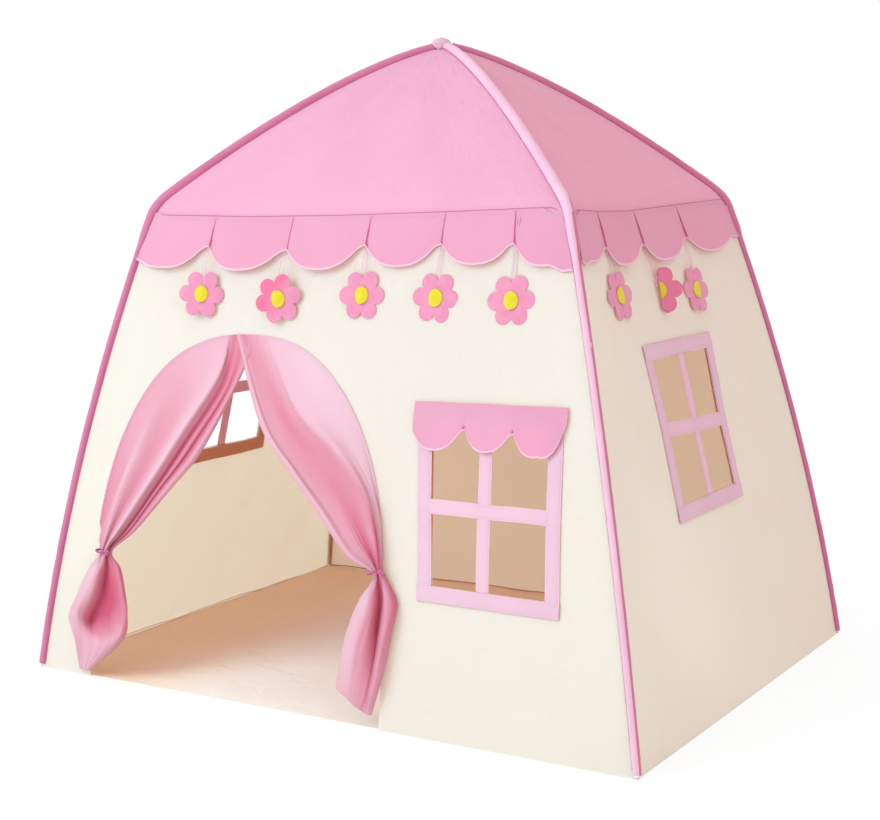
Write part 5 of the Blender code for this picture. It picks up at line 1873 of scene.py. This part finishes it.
def fold_back(made):
    """Fold the half of a flower that is nearer the front edge of its wall, as a soft felt does, and give
    that half painted shade.
    """
    choose(made)
    bpy.ops.object.mode_set(mode="EDIT")
    bpy.ops.mesh.select_all(action="SELECT")
    bpy.ops.mesh.bisect(plane_co=(0, 0, 0), plane_no=(1, 0, 0))
    bpy.ops.object.mode_set(mode="OBJECT")
    for point in made.data.vertices:
        if point.co.x < 0.0001:
            made.data.attributes["fold"].data[point.index].value = 0.6
        if point.co.x < 0:
            point.co = Matrix.Rotation(FOLD_ANGLE, 3, "Y") @ point.co


def flower(name, matrix):
    """One flower, and the place of its middle in the frame that the matrix gives."""
    turn, tip, twist, slide, lower = FLOWER_POSES[name]
    turn, tip, twist = (radians(value) for value in (turn, tip, twist))
    folded = name == FOLDED_FLOWER
    seat = Matrix.Translation((0, 0, FOLDED_SEAT if folded else DISC_SEAT))
    made = join(f"flower_{name}", [copy_of(petals, Matrix.Identity(4)), copy_of(disc, seat)])
    shaded = name == SHADED_FLOWER
    # Painted shade on the upper left of the shaded flower's petals.
    mark(made, "fold", [smooth((point.co.y - point.co.x) / 0.02 + 0.2) * shaded
                        for point in made.data.vertices])
    if folded:
        fold_back(made)
    turned = (Matrix.Rotation(twist, 4, "Y") @ Matrix.Rotation(tip, 4, "X")
              @ Matrix.Rotation(turn, 4, "Z"))
    lean = abs(sin(twist)) + abs(sin(tip))
    lift = FLOWER_LIFT + LIFT_A_TURN * lean * (FOLDED_share if folded else 1.0)
    middle = Vector((slide * MILLIMETRE, -FLOWER_DROP - lower * MILLIMETRE, lift))
    made.data.transform(matrix @ Matrix.Translation(middle) @ turned)
    settle(soften(made, 50), f"flower_{name}", f"hanging_flower_{name}", slot="pink_felt")
    return made, middle


print("flowers to hang:", len(FLOWER_POSES))

# %% [markdown]
# Each flower's thread is one loop: down one strand, round behind the flower's middle, and up
# the other. Its length is that of the whole loop, and it moves with its flower.

# %% Flowers and threads
THREAD_DIAMETER = 0.0011
# How far off the wall a thread starts: under the valance, or outside it where that is pulled up.
THREAD_START, OUTER_START = 0.0014, {"front_5": 0.0058}
THREAD_STEPS, TURN_STEPS = 12, 8
# Half the gap between the strands at the seam, how much it widens, and the turn's radius.
STRAND_GAP, STRAND_SPREAD, TURN_RADIUS = 0.0022, 0.0022, 0.0044
TURN_ABOVE_MIDDLE = Vector((0, 0.010, -0.0006))


def thread_points(name, start_across, middle):
    """The loop's points in the flower's frame."""
    tie = middle + TURN_ABOVE_MIDDLE
    start = Vector((start_across, 0.002, OUTER_START.get(name, THREAD_START)))
    down, up = [], []
    for step in range(THREAD_STEPS + 1):
        t = step / THREAD_STEPS
        spot = start.lerp(tie, t)
        spot.z = start.z + (tie.z - start.z) * smooth((t - 0.36) * 4)
        half = Vector((STRAND_GAP + STRAND_SPREAD * t, 0, 0))
        down.append(spot - half)
        up.append(spot + half)
    turn = []
    for step in range(1, TURN_STEPS):
        angle = pi * step / TURN_STEPS
        turn.append(tie + Vector((-TURN_RADIUS * cos(angle), -TURN_RADIUS * sin(angle), 0)))
    return [*down, *turn, *reversed(up)]


def thread(name, points):
    made = dress(line_object(f"thread_{name}", points), THREAD)
    made.data.bevel_depth = THREAD_DIAMETER / 2
    made.data.bevel_resolution = 2
    made.data.use_fill_caps = True
    settle(made, f"flower_{name}", slot="pink_felt")
    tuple(points[0])
    line_length(points)


for side in ("front", "right", "left"):
    tops = notch_edges(side)[1:-1]
    for number, along in enumerate(notch_edges(side, FLOWER_PLACES)[1:-1], 1):
        name = f"{side}_{number}"
        matrix = side_matrix(side, along)
        made, middle = flower(name, matrix)
        loop = [matrix @ point
                for point in thread_points(name, tops[number - 1] - along, middle)]
        thread(name, loop)
        print(name, "thread length:", round(line_length(loop), 4))
for helper in (petals, disc):
    bpy.data.objects.remove(helper)
